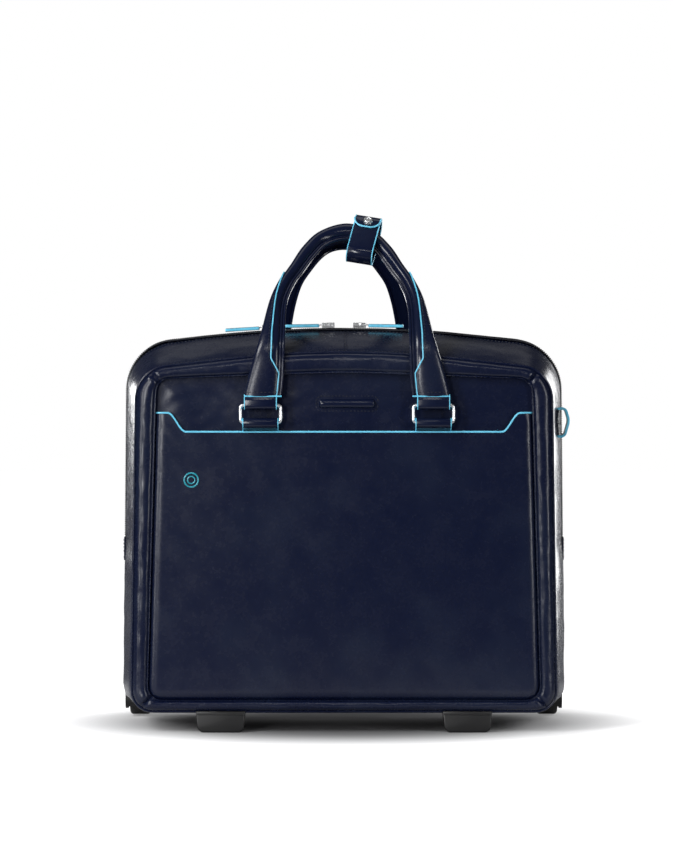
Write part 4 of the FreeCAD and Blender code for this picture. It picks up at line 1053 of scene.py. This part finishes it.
class CASE_OT_ring_straps(bpy.types.Operator):
    """The straps that hold the rings on the pocket side and on the handle side"""
    bl_idname = "case.ring_straps"
    bl_label = "Ring straps"

    def execute(self, context):
        wrap = RING_WIRE / 2 + 1.5
        for label, side in SIDES:
            x = RING_X + side * RING_PITCH
            hem = FRONT_PANEL.low.y - RING_Y
            path = rounded([(hem - 1.2, -30, 0), (hem - 1.2, -7, 6), (wrap, -2, 4), (wrap, wrap, wrap),
                            (-wrap, wrap, wrap), (-wrap, -3.4, 3), (hem - 3.0, -8.2, 3),
                            (hem - 3.0, -30, 0)], closed=False)
            strap(f"ring_tab_{label}", [Vector(p) for p in path], Vector((RING_Y, RING_LOW)),
                  x - 18, x + 18, "front_section", ("front_ring_tabs",), half=0.9)
            path = rounded([(1.1, 10.5, 0), (wrap, 5, 5), (wrap, -wrap, wrap), (-wrap, -wrap, wrap),
                            (-wrap, 5, 5), (-1.1, 10.5, 0)], closed=False)
            strap(f"handle_eye_{label}", path, Vector((RING_Y, RING_HIGH)), x - 16.4, x + 16.4,
                  "front_carry_handle", ("front_handle_eyes",))
            x = side * REAR_RING_X
            hem = BACK_PANEL.high.y - REAR_RING_Y
            path = rounded([(hem + 1.2, -30, 0), (hem + 1.2, -6, 3), (-wrap, 0, 3), (-wrap, wrap, wrap),
                            (wrap, wrap, wrap), (wrap, -7, 4), (hem + 3.6, -14, 4),
                            (hem + 3.6, -30, 0)], closed=False)
            strap(f"rear_ring_tab_{label}", path, Vector((REAR_RING_Y, REAR_RING_LOW)), x - 10,
                  x + 10, "case", ("rear_ring_tabs",))
            path = rounded([(1.1, 14, 0), (wrap, 6, 6), (wrap, -wrap, wrap), (-wrap, -wrap, wrap),
                            (-wrap, 6, 6), (-1.1, 14, 0)], closed=False)
            strap(f"rear_handle_eye_{label}", path, Vector((REAR_RING_Y, REAR_RING_HIGH)), x - 10,
                  x + 10, "rear_carry_handle", ("rear_handle_eyes",))
        return {"FINISHED"}


class Arch:
    """The run of a carry handle from one foot over the crown to the other.

    stations_up holds one half as (outer half width, outer height, inner half width, inner
    height, thickness), from the foot to the crown.
    """

    def __init__(self, centre_x, stations_up, hinge_y, grip_y, bend_z, crown_z):
        left = [(-o, oz, -i, iz, thick) for o, oz, i, iz, thick in stations_up]
        right = [(o, oz, i, iz, thick) for o, oz, i, iz, thick in reversed(stations_up[:-1])]
        self.knots = left + right
        self.centre_x, self.hinge_y, self.grip_y = centre_x, hinge_y, grip_y
        self.bend_z, self.crown_z = bend_z, crown_z
        self.end = len(self.knots) - 1.0

    def depth(self, z):
        """How far the handle has leaned at a height."""
        slope = (self.grip_y - self.hinge_y) / (self.crown_z - self.bend_z)
        over = z - self.bend_z
        soft = (over + math.sqrt(over * over + 220.0)) / 2
        return self.hinge_y + slope * soft

    def knot(self, t):
        """The handle's station at t, on a smooth curve through the stations."""
        index = min(int(t), len(self.knots) - 2)
        share = t - index
        pick = [self.knots[min(max(index + k, 0), len(self.knots) - 1)] for k in (-1, 0, 1, 2)]
        return [0.5 * (2 * b + (c - a) * share + (2 * a - 5 * b + 4 * c - d) * share ** 2
                       + (3 * b - a - 3 * c + d) * share ** 3)
                for a, b, c, d in zip(*pick)]

    def frame(self, t):
        """The middle, the outward and the forward direction, half width and thickness at t."""
        ox, oz, ix, iz, thick = self.knot(t)
        outer = Vector((self.centre_x + ox, self.depth(oz), oz))
        inner = Vector((self.centre_x + ix, self.depth(iz), iz))
        lateral = (outer - inner).normalized()
        a, b = self.knot(max(t - 0.05, 0)), self.knot(min(t + 0.05, self.end))
        before = Vector((a[0] + a[2], self.depth(a[1]) * 2, a[1] + a[3]))
        after = Vector((b[0] + b[2], self.depth(b[1]) * 2, b[1] + b[3]))
        forward = lateral.cross(after - before).normalized()
        if forward.y > 0:
            forward = -forward
        return outer, inner, lateral, forward, thick

    def body(self, t, flange):
        """Middle, directions and half sizes of the leather roll without its inner flange."""
        outer, inner, lateral, forward, thick = self.frame(t)
        half = max(((outer - inner).length - flange) / 2, thick / 2)
        return outer - lateral * half, lateral, forward, half, thick / 2

    def on_roll(self, t, turn, flange, lift=0.0):
        """A place on the roll: turn 0 is its outer edge, a quarter turn its front."""
        middle, lateral, forward, half, deep = self.body(t, flange)
        flatness = 2 + 0.5 * smooth(1.0, 2.2, half / deep)
        c, s = math.cos(turn), math.sin(turn)
        across = math.copysign(abs(c) ** (2 / flatness), c) * (half + lift)
        out = math.copysign(abs(s) ** (2 / flatness), s) * (deep + lift)
        return middle + lateral * across + forward * out

    def turn_at(self, t, distance, flange):
        """The turn at which the roll's front is a distance in from its outer edge."""
        _, _, _, half, deep = self.body(t, flange)
        flatness = 2 + 0.5 * smooth(1.0, 2.2, half / deep)
        share = max(-0.97, min(1.0, (half - distance) / half))
        return math.acos(math.copysign(abs(share) ** (flatness / 2), share))


def roll(arch, flange, sides=30):
    """The leather roll of a handle."""
    count = int(arch.end * 9)
    rings = [[arch.on_roll(arch.end * k / count, math.tau * s / sides, flange)
              for s in range(sides)] for k in range(count + 1)]
    return close_ends(skin(rings))


def ridges(arch, offsets, radius, forward_by):
    """Thin rolls along the inner edge of a handle, each a distance out from it."""
    count = int(arch.end * 9)
    lines = []
    for offset in offsets:
        line = []
        for k in range(count + 1):
            _, inner, lateral, forward, _ = arch.frame(arch.end * k / count)
            line.append(inner + lateral * offset + forward * forward_by)
        lines.append(tube(line, radius))
    return join(*lines)


FRONT_STATIONS = ((102.5, 338, 65.3, 338, 7.4), (98.2, 356, 63.6, 352, 7.8),
                  (93.0, 375, 62.6, 372, 8.4), (85.4, 401, 62.0, 396, 9.2),
                  (77.0, 434, 60.6, 428, 10.2), (67.2, 455, 53.5, 448, 11.2),
                  (57.2, 470, 43.8, 462, 11.6), (45.0, 488.5, 33.0, 477, 11.6),
                  (27.5, 504.3, 19.5, 490.5, 11.6), (0, 512.2, 0, 495.6, 11.6))
REAR_STATIONS = ((77, 400, 56, 400, 7), (72, 418, 54.5, 414, 8), (65.8, 440, 50.5, 434, 9.5),
                 (58.0, 459, 44.2, 453, 10.8), (48.0, 474, 35.0, 467, 11.4),
                 (33.5, 490, 23.5, 480.5, 11.6), (17.0, 498.4, 13, 487.4, 11.6),
                 (0, 501.4, 0, 489.8, 11.6))
FLANGE = 5.4
# How far in from the leg's outer edge the sewn flap reaches, from its tip down: height, distance.
FLAP_REACH = ((338, 31.5), (364, 27.5), (371, 21.5), (377, 16.2), (401, 10.2), (432, 5.9),
              (447, 3.4), (461, 0.4))


def flap_reach(z):
    """The reach of the sewn flap at a height."""
    return float(np.interp(z, [p[0] for p in FLAP_REACH], [p[1] for p in FLAP_REACH]))


def leg_flap(arch, mirrored):
    """The flap sewn round the outer side of one leg, its painted edge and its stitches."""
    tip_t = next(t / 100 for t in range(0, 900) if arch.knot(t / 100)[1] > FLAP_REACH[-1][0])
    rows, edge, seam, foot = [], [], [], []
    count, columns = 84, 22
    for k in range(count + 1):
        at = tip_t * k / count
        t = arch.end - at if mirrored else at
        z = arch.knot(t)[1]
        stop = arch.turn_at(t, flap_reach(z), FLANGE)
        start = -1.9
        rows.append([arch.on_roll(t, start + (stop - start) * c / columns, FLANGE, 0.95)
                     for c in range(columns + 1)])
        edge.append(arch.on_roll(t, stop, FLANGE, 0.75))
        if k < count * 0.86 and flap_reach(z) > 5:
            back = arch.turn_at(t, flap_reach(z) - 2.4, FLANGE)
            seam.append(arch.on_roll(t, back, FLANGE, 1.05))
    foot_t = arch.end if mirrored else 0.0
    up = Vector((0, 0, 4.0))
    for c in range(columns + 1):
        stop = arch.turn_at(foot_t, 29.5, FLANGE)
        foot.append(arch.on_roll(foot_t, 0.5 + (stop - 0.5) * c / columns, FLANGE, 1.05) + up)
    outer, inner, _, forward, thick = arch.frame(foot_t)
    rim = [outer.lerp(inner, c / 12) + forward * (thick / 2 - 0.6 * (c in (0, 12)))
           for c in range(13)]
    cloth = thicken(skin(rows, ring_closed=False), 0.7, Vector((0, -900, 380)))
    lines = join(tube(edge, size("edge") * 0.85), tube(rim, size("edge") * 0.9))
    sewn = join(stitches(seam, FORWARD), stitches(foot, FORWARD))
    return cloth, lines, sewn


class CASE_OT_handles(bpy.types.Operator):
    """Both carry handles"""
    bl_idname = "case.handles"
    bl_label = "Carry handles"

    def execute(self, context):
        front = Arch(RING_X, FRONT_STATIONS, RING_Y, GRIP_Y, 388, GRIP_Z)
        put(roll(front, FLANGE), "front_handle_roll", "front_carry_handle", "rolled_leather",
            ("front_handle",))
        put(join(ridges(front, (1.5, 4.4), 1.45, 0.6), ridges(front, (3.0,), 1.7, -1.0)),
            "front_handle_flange", "front_carry_handle", "rolled_leather")
        cloths, lines, sewn = zip(*[leg_flap(front, mirrored) for mirrored in (False, True)])
        put(join(*cloths), "front_handle_flap_leather", "front_carry_handle", "navy_leather",
            ("front_handle_flaps",))
        put(join(*lines), "front_handle_painted_edges", "front_carry_handle", "blue_edge")
        put(join(*sewn), "front_handle_stitches", "front_carry_handle", "thread")
        rear = Arch(0.0, REAR_STATIONS, REAR_RING_Y, 15.0, 412, 498)
        put(roll(rear, 0.0), "rear_handle_roll", "rear_carry_handle", "rolled_leather",
            ("rear_handle",))
        put(ridges(rear, (0.4,), 1.3, 4.2), "rear_handle_seam", "rear_carry_handle",
            "rolled_leather")
        return {"FINISHED"}


class CASE_OT_keeper(bpy.types.Operator):
    """The strap round the front grip, with its painted edges and snap"""
    bl_idname = "case.keeper"
    bl_label = "Keeper strap"

    def execute(self, context):
        turn = Matrix.Rotation(-math.radians(39.6), 4, "X") @ Matrix.Rotation(math.radians(12), 4, "Y")
        place = Matrix.Translation((RING_X + 20, GRIP_Y, GRIP_Z)) @ turn
        inner, wall, half = 8.9, 2.0, 13.4
        side = inner + wall / 2
        path = rounded([(-side, 6, 0), (-side, -37, 8.5), (side, -37, 8.5), (side, 15, 8),
                        (-side - 2, 15, 8), (-side - 2, 7, 0)], closed=False)
        core = slab([Vector((-half + 0.5, p.x, p.y)) for p in ribbon(path, wall / 2)],
                    Vector((2 * half - 1, 0, 0)), 0.3)
        rims = [slab([Vector((at, p.x, p.y)) for p in ribbon(path, wall / 2 + 0.12)],
                     Vector((0.9, 0, 0)), 0.3) for at in (-half, half - 0.9)]
        face_y = -side - 2 - wall / 2
        tip = rounded([(-half, 8, 0), (-half, -2.2, 10), (half, -2.2, 10), (half, 8, 0)], closed=False)
        tongue = slab([Vector((p.x, face_y, p.y)) for p in tip], Vector((0, wall, 0)), 0.3)
        lip = tube([place @ Vector((p.x, face_y + 0.5, p.y)) for p in tip], 0.95)
        for part in (core, tongue, *rims):
            bmesh.ops.transform(part, matrix=place, verts=part.verts)
        core = join(core, tongue)
        put(core, "keeper_strap_leather", "front_carry_handle", "rolled_leather",
            ("keeper_strap",))
        put(join(*rims, lip), "keeper_painted_edges", "front_carry_handle", "blue_edge")
        snap = bmesh.new()
        bmesh.ops.create_cone(snap, cap_ends=True, segments=32, radius1=5.2, radius2=4.2, depth=1.6)
        ring = tube([Vector((3.0 * math.cos(math.tau * k / 24), 3.0 * math.sin(math.tau * k / 24), 0.9))
                     for k in range(24)], 0.7, closed=True)
        snap = join(snap, ring)
        bmesh.ops.recalc_face_normals(snap, faces=snap.faces)
        seat = Matrix.Translation((0.6, face_y - 0.6, 5.4)) @ Matrix.Rotation(math.pi / 2, 4, "X")
        bmesh.ops.transform(snap, matrix=place @ seat, verts=snap.verts)
        put(snap, "keeper_snap_cap", "front_carry_handle", "chrome_fittings", ("keeper_snap",))
        return {"FINISHED"}


class CASE_OT_side_loop(bpy.types.Operator):
    """The small loop of strap on the right side of the case"""
    bl_idname = "case.side_loop"
    bl_label = "Side loop"

    def execute(self, context):
        x, z = SIDE_LOOP.high.x, (SIDE_LOOP.low.z + SIDE_LOOP.high.z) / 2
        foot_x = x - 13
        path = rounded([(foot_x, z + 14, 0), (x - 3.5, z + 14.5, 5), (x + 0.2, z + 2, 14),
                        (x - 4.5, z - 14, 5), (foot_x, z - 14, 0)], closed=False)
        middle_y = (SIDE_LOOP.low.y + SIDE_LOOP.high.y) / 2
        strap("side_loop_strap", path, Vector((0, 0)), middle_y - 9, middle_y + 9, "front_section",
              ("side_loop",), half=1.1, plane="XZ")
        return {"FINISHED"}


# ---------------------------------------------------------------------------------------------
# Zips
# ---------------------------------------------------------------------------------------------
def zip_line(y, lift):
    """The line of a zip over the case at a depth, from the left end to the right end."""
    line = [Vector((p.x, y, p.y)) for p in section_line(MIDDLE, lift=lift)]
    return left_to_right([p for p, _ in spread(line, 2.0, closed=True) if p.z > SPLIT_Z])


def zip_way(point):
    """The way off the case at a point of a zip."""
    if point.z > MIDDLE.corner_z - 12:
        return Vector((point.x * 0.25 / MIDDLE.top_half, 0, 1)).normalized()
    return Vector((math.copysign(1, point.x), 0, 0.02)).normalized()


def zip_half(y_low, y_high, teeth_y):
    """Tape and teeth of half a zip."""
    rows = [zip_line(y, 1.0) for y in stations(y_low, y_high, 1.6)]
    tape = thicken(skin(rows, ring_closed=False), 0.6, Vector((0, y_low, 900)))

    def tooth(bm):
        bmesh.ops.create_cube(bm, size=1.0)
        bmesh.ops.scale(bm, vec=(1.25, 3.0, 1.5), verts=bm.verts)
        bmesh.ops.bevel(bm, geom=[e for e in bm.edges if e.verts[0].co.z > 0
                                  and e.verts[1].co.z > 0], offset=0.35, segments=1,
                        profile=0.5, affect="EDGES", material=-1)
    places = [facing(point, along, zip_way(point))
              for point, along in spread(zip_line(teeth_y, 1.5), size("tooth_pitch"))]
    return tape, repeat(tooth, places)


class CASE_OT_zips(bpy.types.Operator):
    """The main zip in two halves and the rear zip"""
    bl_idname = "case.zips"
    bl_label = "Zips"

    def execute(self, context):
        tape, teeth = zip_half(ZIP_Y - 9, ZIP_Y - 0.3, ZIP_Y - 1.6)
        put(tape, "zip_front_tape", "front_section", "zip_tape", ("zip_front_half",),
            hinge=FRONT_HINGE)
        put(teeth, "zip_front_teeth", "front_section", "black_plastic",
            hinge=FRONT_HINGE)
        tape, teeth = zip_half(ZIP_Y + 0.3, ZIP_Y + 9, ZIP_Y + 1.6)
        put(tape, "zip_rear_tape", "case", "zip_tape", ("zip_rear_half",))
        put(teeth, "zip_rear_teeth", "case", "black_plastic")
        tape, teeth = zip_half(REAR_ZIP_Y - 7, REAR_ZIP_Y + 7, REAR_ZIP_Y)
        put(tape, "rear_zip_tape", "case", "zip_tape", ("rear_zip",))
        put(teeth, "rear_zip_teeth", "case", "black_plastic")
        return {"FINISHED"}


class CASE_OT_zip_ends(bpy.types.Operator):
    """The sewn patches over the lower ends of the main zip"""
    bl_idname = "case.zip_ends"
    bl_label = "Zip end patches"

    def execute(self, context):
        box = span("zip_end_tabs")
        for label, side in SIDES:
            x = box.high.x * side
            bm = block((min(x, x - 2.2 * side), box.low.y, box.low.z),
                       (max(x, x - 2.2 * side), box.high.y, box.high.z), 0.9)
            put(bm, f"zip_end_patch_{label}", "case", "navy_leather", ("zip_end_tabs",))
            line = [Vector((x + 0.1 * side, p.x, p.y)) for p in rounded(
                [(box.low.y + 2.5, box.low.z + 2.5, 2), (box.high.y - 2.5, box.low.z + 2.5, 2),
                 (box.high.y - 2.5, box.high.z - 2.5, 2), (box.low.y + 2.5, box.high.z - 2.5, 2)])]
            put(stitches(line, Vector((side, 0, 0)), closed=True), f"zip_end_stitches_{label}",
                "case", "thread")
        return {"FINISHED"}


def on_track(x):
    """The swing about the zip's arch that carries a piece from the crown to x."""
    turn = math.asin(x / MIDDLE.arch)
    centre = Vector((0, 0, ARCH_CENTRE_Z))
    return (Matrix.Translation(centre) @ Matrix.Rotation(turn, 4, "Y")
            @ Matrix.Translation(-centre))


class CASE_OT_pulls(bpy.types.Operator):
    """Leather pulls with painted edges, each on a wire link"""
    bl_idname = "case.pulls"
    bl_label = "Zip pulls"

    def execute(self, context):
        top = MIDDLE.arch + ARCH_CENTRE_Z + 2.0
        root, tip = 9.0, 45.0
        for name, slider_x, y, way, body in (("zip_pull_left", -16, ZIP_Y, -1, "left_pull"),
                                             ("zip_pull_right", 16, ZIP_Y, 1, "right_pull"),
                                             ("rear_zip_pull", -78, REAR_ZIP_Y, -1, "rear_pull")):
            swing = on_track(slider_x)
            layers = []
            for low, high, grow in ((0.9, 1.3, -0.5), (1.3, 4.1, 0.0), (4.1, 4.5, -0.5)):
                shape = rounded([(root - grow, -4.5 - grow, 2), (tip + grow, -4.5 - grow, 2.6),
                                 (tip + grow, 4.5 + grow, 2.6), (root - grow, 4.5 + grow, 2)])
                layers.append(slab([Vector((way * p.x, y + p.y, top + low)) for p in shape],
                                   Vector((0, 0, high - low)), 0.2))
            for layer in layers:
                bmesh.ops.transform(layer, matrix=swing, verts=layer.verts)
            put(join(layers[0], layers[2]), name + "_leather", body, "rolled_leather", (name,))
            put(layers[1], name + "_painted_core", body, "blue_edge")
            link = rounded([(0, -3, 1.4), (root + 3.5, -3, 1.4), (root + 3.5, 3, 1.4), (0, 3, 1.4)])
            rise = [Vector((way * p.x, y + p.y, top + 4.3 - 1.1 * smooth(2, root, p.x))) for p in link]
            put(tube([swing @ p for p in rise], 0.62, closed=True), name + "_link", body,
                "chrome_fittings")
        return {"FINISHED"}


# ---------------------------------------------------------------------------------------------
# Back, trolley and running gear
# ---------------------------------------------------------------------------------------------
class CASE_OT_back_panel(bpy.types.Operator):
    """The back panel, crowned and sewn, cut out round the wheels"""
    bl_idname = "case.back_panel"
    bl_label = "Back panel"

    def execute(self, context):
        angles = bearings(RING_COUNT)
        outer = along_bearings(section_line(BACK), angles)
        rings = []
        for share, swell in ((1.0, 0.0), (0.985, 0.5), (0.95, 0.8), (0.88, 0.95), (0.75, 1.0),
                             (0.55, 1.0), (0.35, 1.0), (0.15, 1.0), (0.02, 1.0)):
            rings.append([Vector((HEART.x + (p.x - HEART.x) * share,
                                  BACK_PANEL.low.y + 1.2 + 3.2 * swell
                                  + ripple((p.x * share, p.y * share, 60), 55, 0.7) * swell,
                                  HEART.y + (p.y - HEART.y) * share)) for p in outer])
        bm = skin(rings)
        bmesh.ops.holes_fill(bm, edges=[e for e in bm.edges if len(e.link_faces) == 1
                                        and abs(e.verts[0].co.x) < 30
                                        and abs(e.verts[0].co.z - HEART.y) < 30], sides=0)
        well = span("wheel_housing_right")
        gone = [face for face in bm.faces if face.calc_center_median().z < well.high.z
                and abs(face.calc_center_median().x) > well.low.x]
        bmesh.ops.delete(bm, geom=gone, context="FACES")
        thicken(bm, size("leather"), Vector((0, 900, 200)))
        put(bm, "back_panel_leather", "case", "navy_leather", ("back_panel",))
        rim = [Vector((p.x, BACK_PANEL.high.y + 0.35, p.y))
               for p in section_line(BACK, lift=-10) if p.y > well.high.z + 8]
        put(stitches(left_to_right(rim), REARWARD), "back_panel_stitches", "case", "thread")
        return {"FINISHED"}


class CASE_OT_feet(bpy.types.Operator):
    """Two moulded feet under the front"""
    bl_idname = "case.feet"
    bl_label = "Front feet"

    def execute(self, context):
        top, foot = FEET.high.z, FEET.low.z
        for label, side in SIDES:
            x = side * (FEET.high.x - 25)
            face = rounded([(x - 25, top, 0), (x - 23, foot + 0.05, 7), (x + 23, foot + 0.05, 7),
                            (x + 25, top, 0)])
            bm = slab([Vector((p.x, FEET.low.y, p.y)) for p in face],
                      Vector((0, FEET.high.y - FEET.low.y, 0)), 1.6, 3)
            put(bm, f"front_foot_{label}", "case", "black_plastic", ("front_feet",))
            welt = [Vector((x + dx, FEET.low.y - 0.05, top - 3.4)) for dx in (-23.6, 23.6)]
            put(tube(welt, 0.5), f"front_foot_line_{label}", "case", "black_plastic")
        return {"FINISHED"}


class CASE_OT_pull_grip(bpy.types.Operator):
    """The moulded grip of the pull handle, softly rounded, with finger ribs"""
    bl_idname = "case.pull_grip"
    bl_label = "Pull handle grip"

    def execute(self, context):
        low, high = PULL_GRIP
        palm_z = high.z - 21
        half, leg = high.x, high.x - 24
        face = rounded([(half, low.z, 2.5), (half, high.z, 11), (-half, high.z, 11),
                        (-half, low.z, 2.5), (-leg, low.z, 2.5), (-leg, palm_z, 6), (leg, palm_z, 6),
                        (leg, low.z, 2.5)])
        bm = slab([Vector((p.x, low.y, p.y)) for p in face], Vector((0, high.y - low.y, 0)), 5, 5)
        put(bm, "pull_grip_shell", "trolley_top", "grip_plastic", ("pull_grip",), sharp=50)
        rib_y = high.y + 0.05
        ribs = [tube([Vector((x, rib_y, palm_z + 4)), Vector((x, rib_y, high.z - 5))], 0.7)
                for x in range(-52, 53, 8)]
        put(join(*ribs), "pull_grip_ribs", "trolley_top", "grip_plastic")
        return {"FINISHED"}


class CASE_OT_lining(bpy.types.Operator):
    """Lining inside both halves of the case"""
    bl_idname = "case.lining"
    bl_label = "Lining"

    def execute(self, context):
        put(gusset(FRONT_Y + 6, ZIP_Y - 4, True, lift=-3.2, depth=0.6), "front_lining",
            "front_section", "lining", hinge=FRONT_HINGE)
        put(gusset(ZIP_Y + 4, BACK_Y - 1, True, lift=-3.2, depth=0.6), "rear_lining", "case",
            "lining")
        return {"FINISHED"}


class CASE_OT_sleeve(bpy.types.Operator):
    """The padded laptop sleeve with its strap"""
    bl_idname = "case.sleeve"
    bl_label = "Laptop sleeve"

    def execute(self, context):
        low, high = SLEEVE
        bm = bmesh.new()
        bmesh.ops.create_grid(bm, x_segments=60, y_segments=44, size=0.5)
        for vert in bm.verts:
            x, z = vert.co.x * (high.x - low.x), (low.z + high.z) / 2 + vert.co.y * (high.z - low.z)
            edge = min(high.x - abs(x), z - low.z, high.z - z)
            quilt = 0.5 * abs(math.sin(x / 21)) * abs(math.sin(z / 21))
            vert.co = (x, low.y + 3.0 - 2.4 * smooth(0, 14, edge) + 0.6 - quilt, z)
        thicken(bm, 3.0, Vector((0, -900, 180)))
        sleeve = put(bm, "laptop_sleeve_pad", "case", "lining", ("laptop_sleeve",))
        box = span("sleeve_strap")
        path = rounded([(box.high.y, box.high.z - 1, 0), (box.low.y + 1, box.high.z - 1, 5),
                        (box.low.y + 1, box.low.z, 0)], closed=False)
        strap("sleeve_strap_web", path, Vector((0, 0)), box.low.x, box.high.x, "case",
              ("sleeve_strap",))
        return {"FINISHED"}


CAD_FINISHES = {
    "chrome_fittings": ("zip_slider_left", "zip_slider_right", "rear_zip_slider"),
    "tube_alloy": ("fixed_tubes", "middle_tubes", "inner_tubes"),
    "black_plastic": ("tube_bracket", "tube_bezel", "rear_cover", "wheel_housing_left",
                      "wheel_housing_right", "chassis_tray", "middle_collars", "hub_left",
                      "hub_right"),
    "grip_plastic": ("release_button",),
    "tyre": ("tyre_left", "tyre_right"),
    "steel": ("wheel_axles", "foot_screws", "release_rods"),
    "lining": ("file_divider", "front_board"),
}


class CASE_OT_hard_parts(bpy.types.Operator):
    """Give the frame's own hard parts their finishes"""
    bl_idname = "case.hard_parts"
    bl_label = "Hard parts"

    def execute(self, context):
        for material, nodes in CAD_FINISHES.items():
            for node in nodes:
                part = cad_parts[node]
                part.data.materials.clear()
                part.data.materials.append(finish(material))
        return {"FINISHED"}


# ---------------------------------------------------------------------------------------------
# Stage
# ---------------------------------------------------------------------------------------------
def lamp(name, place, aim, width, height, power):
    """A white soft box."""
    light = bpy.data.lights.new(name, "AREA")
    light.shape, light.size, light.size_y = "RECTANGLE", width, height
    light.energy = power
    holder = bpy.data.objects.new(name, light)
    holder.location = place
    holder.rotation_euler = (Vector(aim) - Vector(place)).to_track_quat("-Z", "Y").to_euler()
    bpy.context.scene.collection.objects.link(holder)


class CASE_OT_stage(bpy.types.Operator):
    """A white floor with a painted shadow round the case, a white backdrop, soft boxes and the camera
    """
    bl_idname = "case.stage"
    bl_label = "Stage"

    def execute(self, context):
        f = Finish("studio_white")
        reach = f.node("ShaderNodeVectorMath", {"operation": "LENGTH"}, {0: f.place((1, 1.5, 1))})[1]
        seen = f.node("ShaderNodeLightPath")[0]
        # Glow seen only by the camera whitens the floor away from the case and fades out near it.
        glow = f.mix(f.ramp(reach, 0.16, 0.42) * seen, (0.0, 0.0, 0.0, 1), (1, 1, 1, 1))
        # Base colour darker round the case: painted shadow under and beside it, on top of the lamps'
        # own shadow.
        tone = f.mix(f.ramp(reach, 0.10, 0.36), (0.17, 0.17, 0.175, 1), (0.85, 0.85, 0.86, 1))
        # Further off the base colour turns dark again under the glow, so the floor bounces and reflects
        # less light than it shows to the camera.
        tone = f.mix(f.ramp(reach, 0.45, 0.8), tone, (0.1, 0.1, 0.1, 1))
        f.set(Base_Color=tone, Roughness=0.9, Emission_Color=glow, Emission_Strength=1.0,
              Specular_IOR_Level=0.0)
        bm = bmesh.new()
        bmesh.ops.create_grid(bm, x_segments=1, y_segments=1, size=6.0)
        mesh = bpy.data.meshes.new("studio_floor")
        bm.to_mesh(mesh)
        bm.free()
        floor = bpy.data.objects.new("studio_floor", mesh)
        mesh.materials.append(f.owner)
        bpy.context.scene.collection.objects.link(floor)

        world = bpy.data.worlds.new("studio")
        bpy.context.scene.world = world
        sky = Graph(world, "Background")
        seen = sky.node("ShaderNodeLightPath")[0]
        level = sky.node("ShaderNodeMapRange", {}, {"Value": seen, "To Min": 0.04, "To Max": 1.0})[0]
        sky.set(Color=(1, 1, 1, 1), Strength=level)

        target = (0, 0, 0.22)
        lamp("key", (-1.6, -1.3, 1.9), target, 0.8, 0.8, 34)
        lamp("top", (0.0, 0.2, 2.0), target, 1.6, 0.5, 3.5)
        lamp("top_back", (0.0, 1.7, 1.7), target, 1.6, 0.4, 0.6)
        lamp("left_strip", (-1.25, -1.3, 0.5), target, 0.2, 1.3, 10)
        lamp("right_strip", (1.25, -1.3, 0.5), target, 0.2, 1.3, 10)
        lamp("leg_streak", (-1.05, -2.4, 0.6), (0, 0, 0.36), 0.36, 0.8, 19)
        lamp("front_top", (0.0, -2.2, 1.9), (0, 0, 0.36), 1.0, 0.16, 5)
        lamp("left_back", (-1.5, 1.3, 0.46), (0, 0, 0.4), 0.8, 0.36, 22)
        lamp("right_back", (1.5, 1.3, 0.5), target, 0.9, 1.1, 32)

        camera = bpy.data.cameras.new("camera")
        camera.lens, camera.sensor_width = 149.3, 36.0
        camera.clip_end = 50.0
        holder = bpy.data.objects.new("camera", camera)
        holder.location = (-0.0065, -3.6, 0.413)
        holder.rotation_euler = Euler((math.radians(90 - 1.65), 0, 0))
        bpy.context.scene.collection.objects.link(holder)
        bpy.context.scene.camera = holder
        bpy.context.scene.view_settings.view_transform = "Standard"
        return {"FINISHED"}


# ---------------------------------------------------------------------------------------------
# Panel and registration
# ---------------------------------------------------------------------------------------------
OPERATORS = (CASE_OT_hard_parts, CASE_OT_gussets, CASE_OT_piping, CASE_OT_strips,
             CASE_OT_front_panel, CASE_OT_bar, CASE_OT_pocket, CASE_OT_badge, CASE_OT_rings,
             CASE_OT_ring_straps, CASE_OT_handles, CASE_OT_keeper, CASE_OT_side_loop, CASE_OT_zips,
             CASE_OT_zip_ends, CASE_OT_pulls, CASE_OT_back_panel, CASE_OT_feet, CASE_OT_pull_grip,
             CASE_OT_lining, CASE_OT_sleeve, CASE_OT_stage)


class CASE_PT_panel(bpy.types.Panel):
    """The case's pieces, sizes and colours"""
    bl_idname = "CASE_PT_panel"
    bl_label = "Laptop case"
    bl_space_type = "VIEW_3D"
    bl_region_type = "UI"
    bl_category = "Laptop case"

    def draw(self, context):
        for operator in OPERATORS:
            self.layout.operator(operator.bl_idname)
        for group in (context.scene.case_sizes, context.scene.case_colours):
            for name in group.__annotations__:
                self.layout.prop(group, name)


CLASSES = (CaseSizes, CaseColours, *OPERATORS, CASE_PT_panel)


def register():
    for item in CLASSES:
        bpy.utils.register_class(item)
    bpy.types.Scene.case_sizes = PointerProperty(type=CaseSizes)
    bpy.types.Scene.case_colours = PointerProperty(type=CaseColours)


def unregister():
    del bpy.types.Scene.case_colours
    del bpy.types.Scene.case_sizes
    for item in reversed(CLASSES):
        bpy.utils.unregister_class(item)


def main():
    register()
    for operator in OPERATORS:
        getattr(bpy.ops.case, operator.bl_idname.split(".")[1])()


if __name__ == "__main__":
    main()
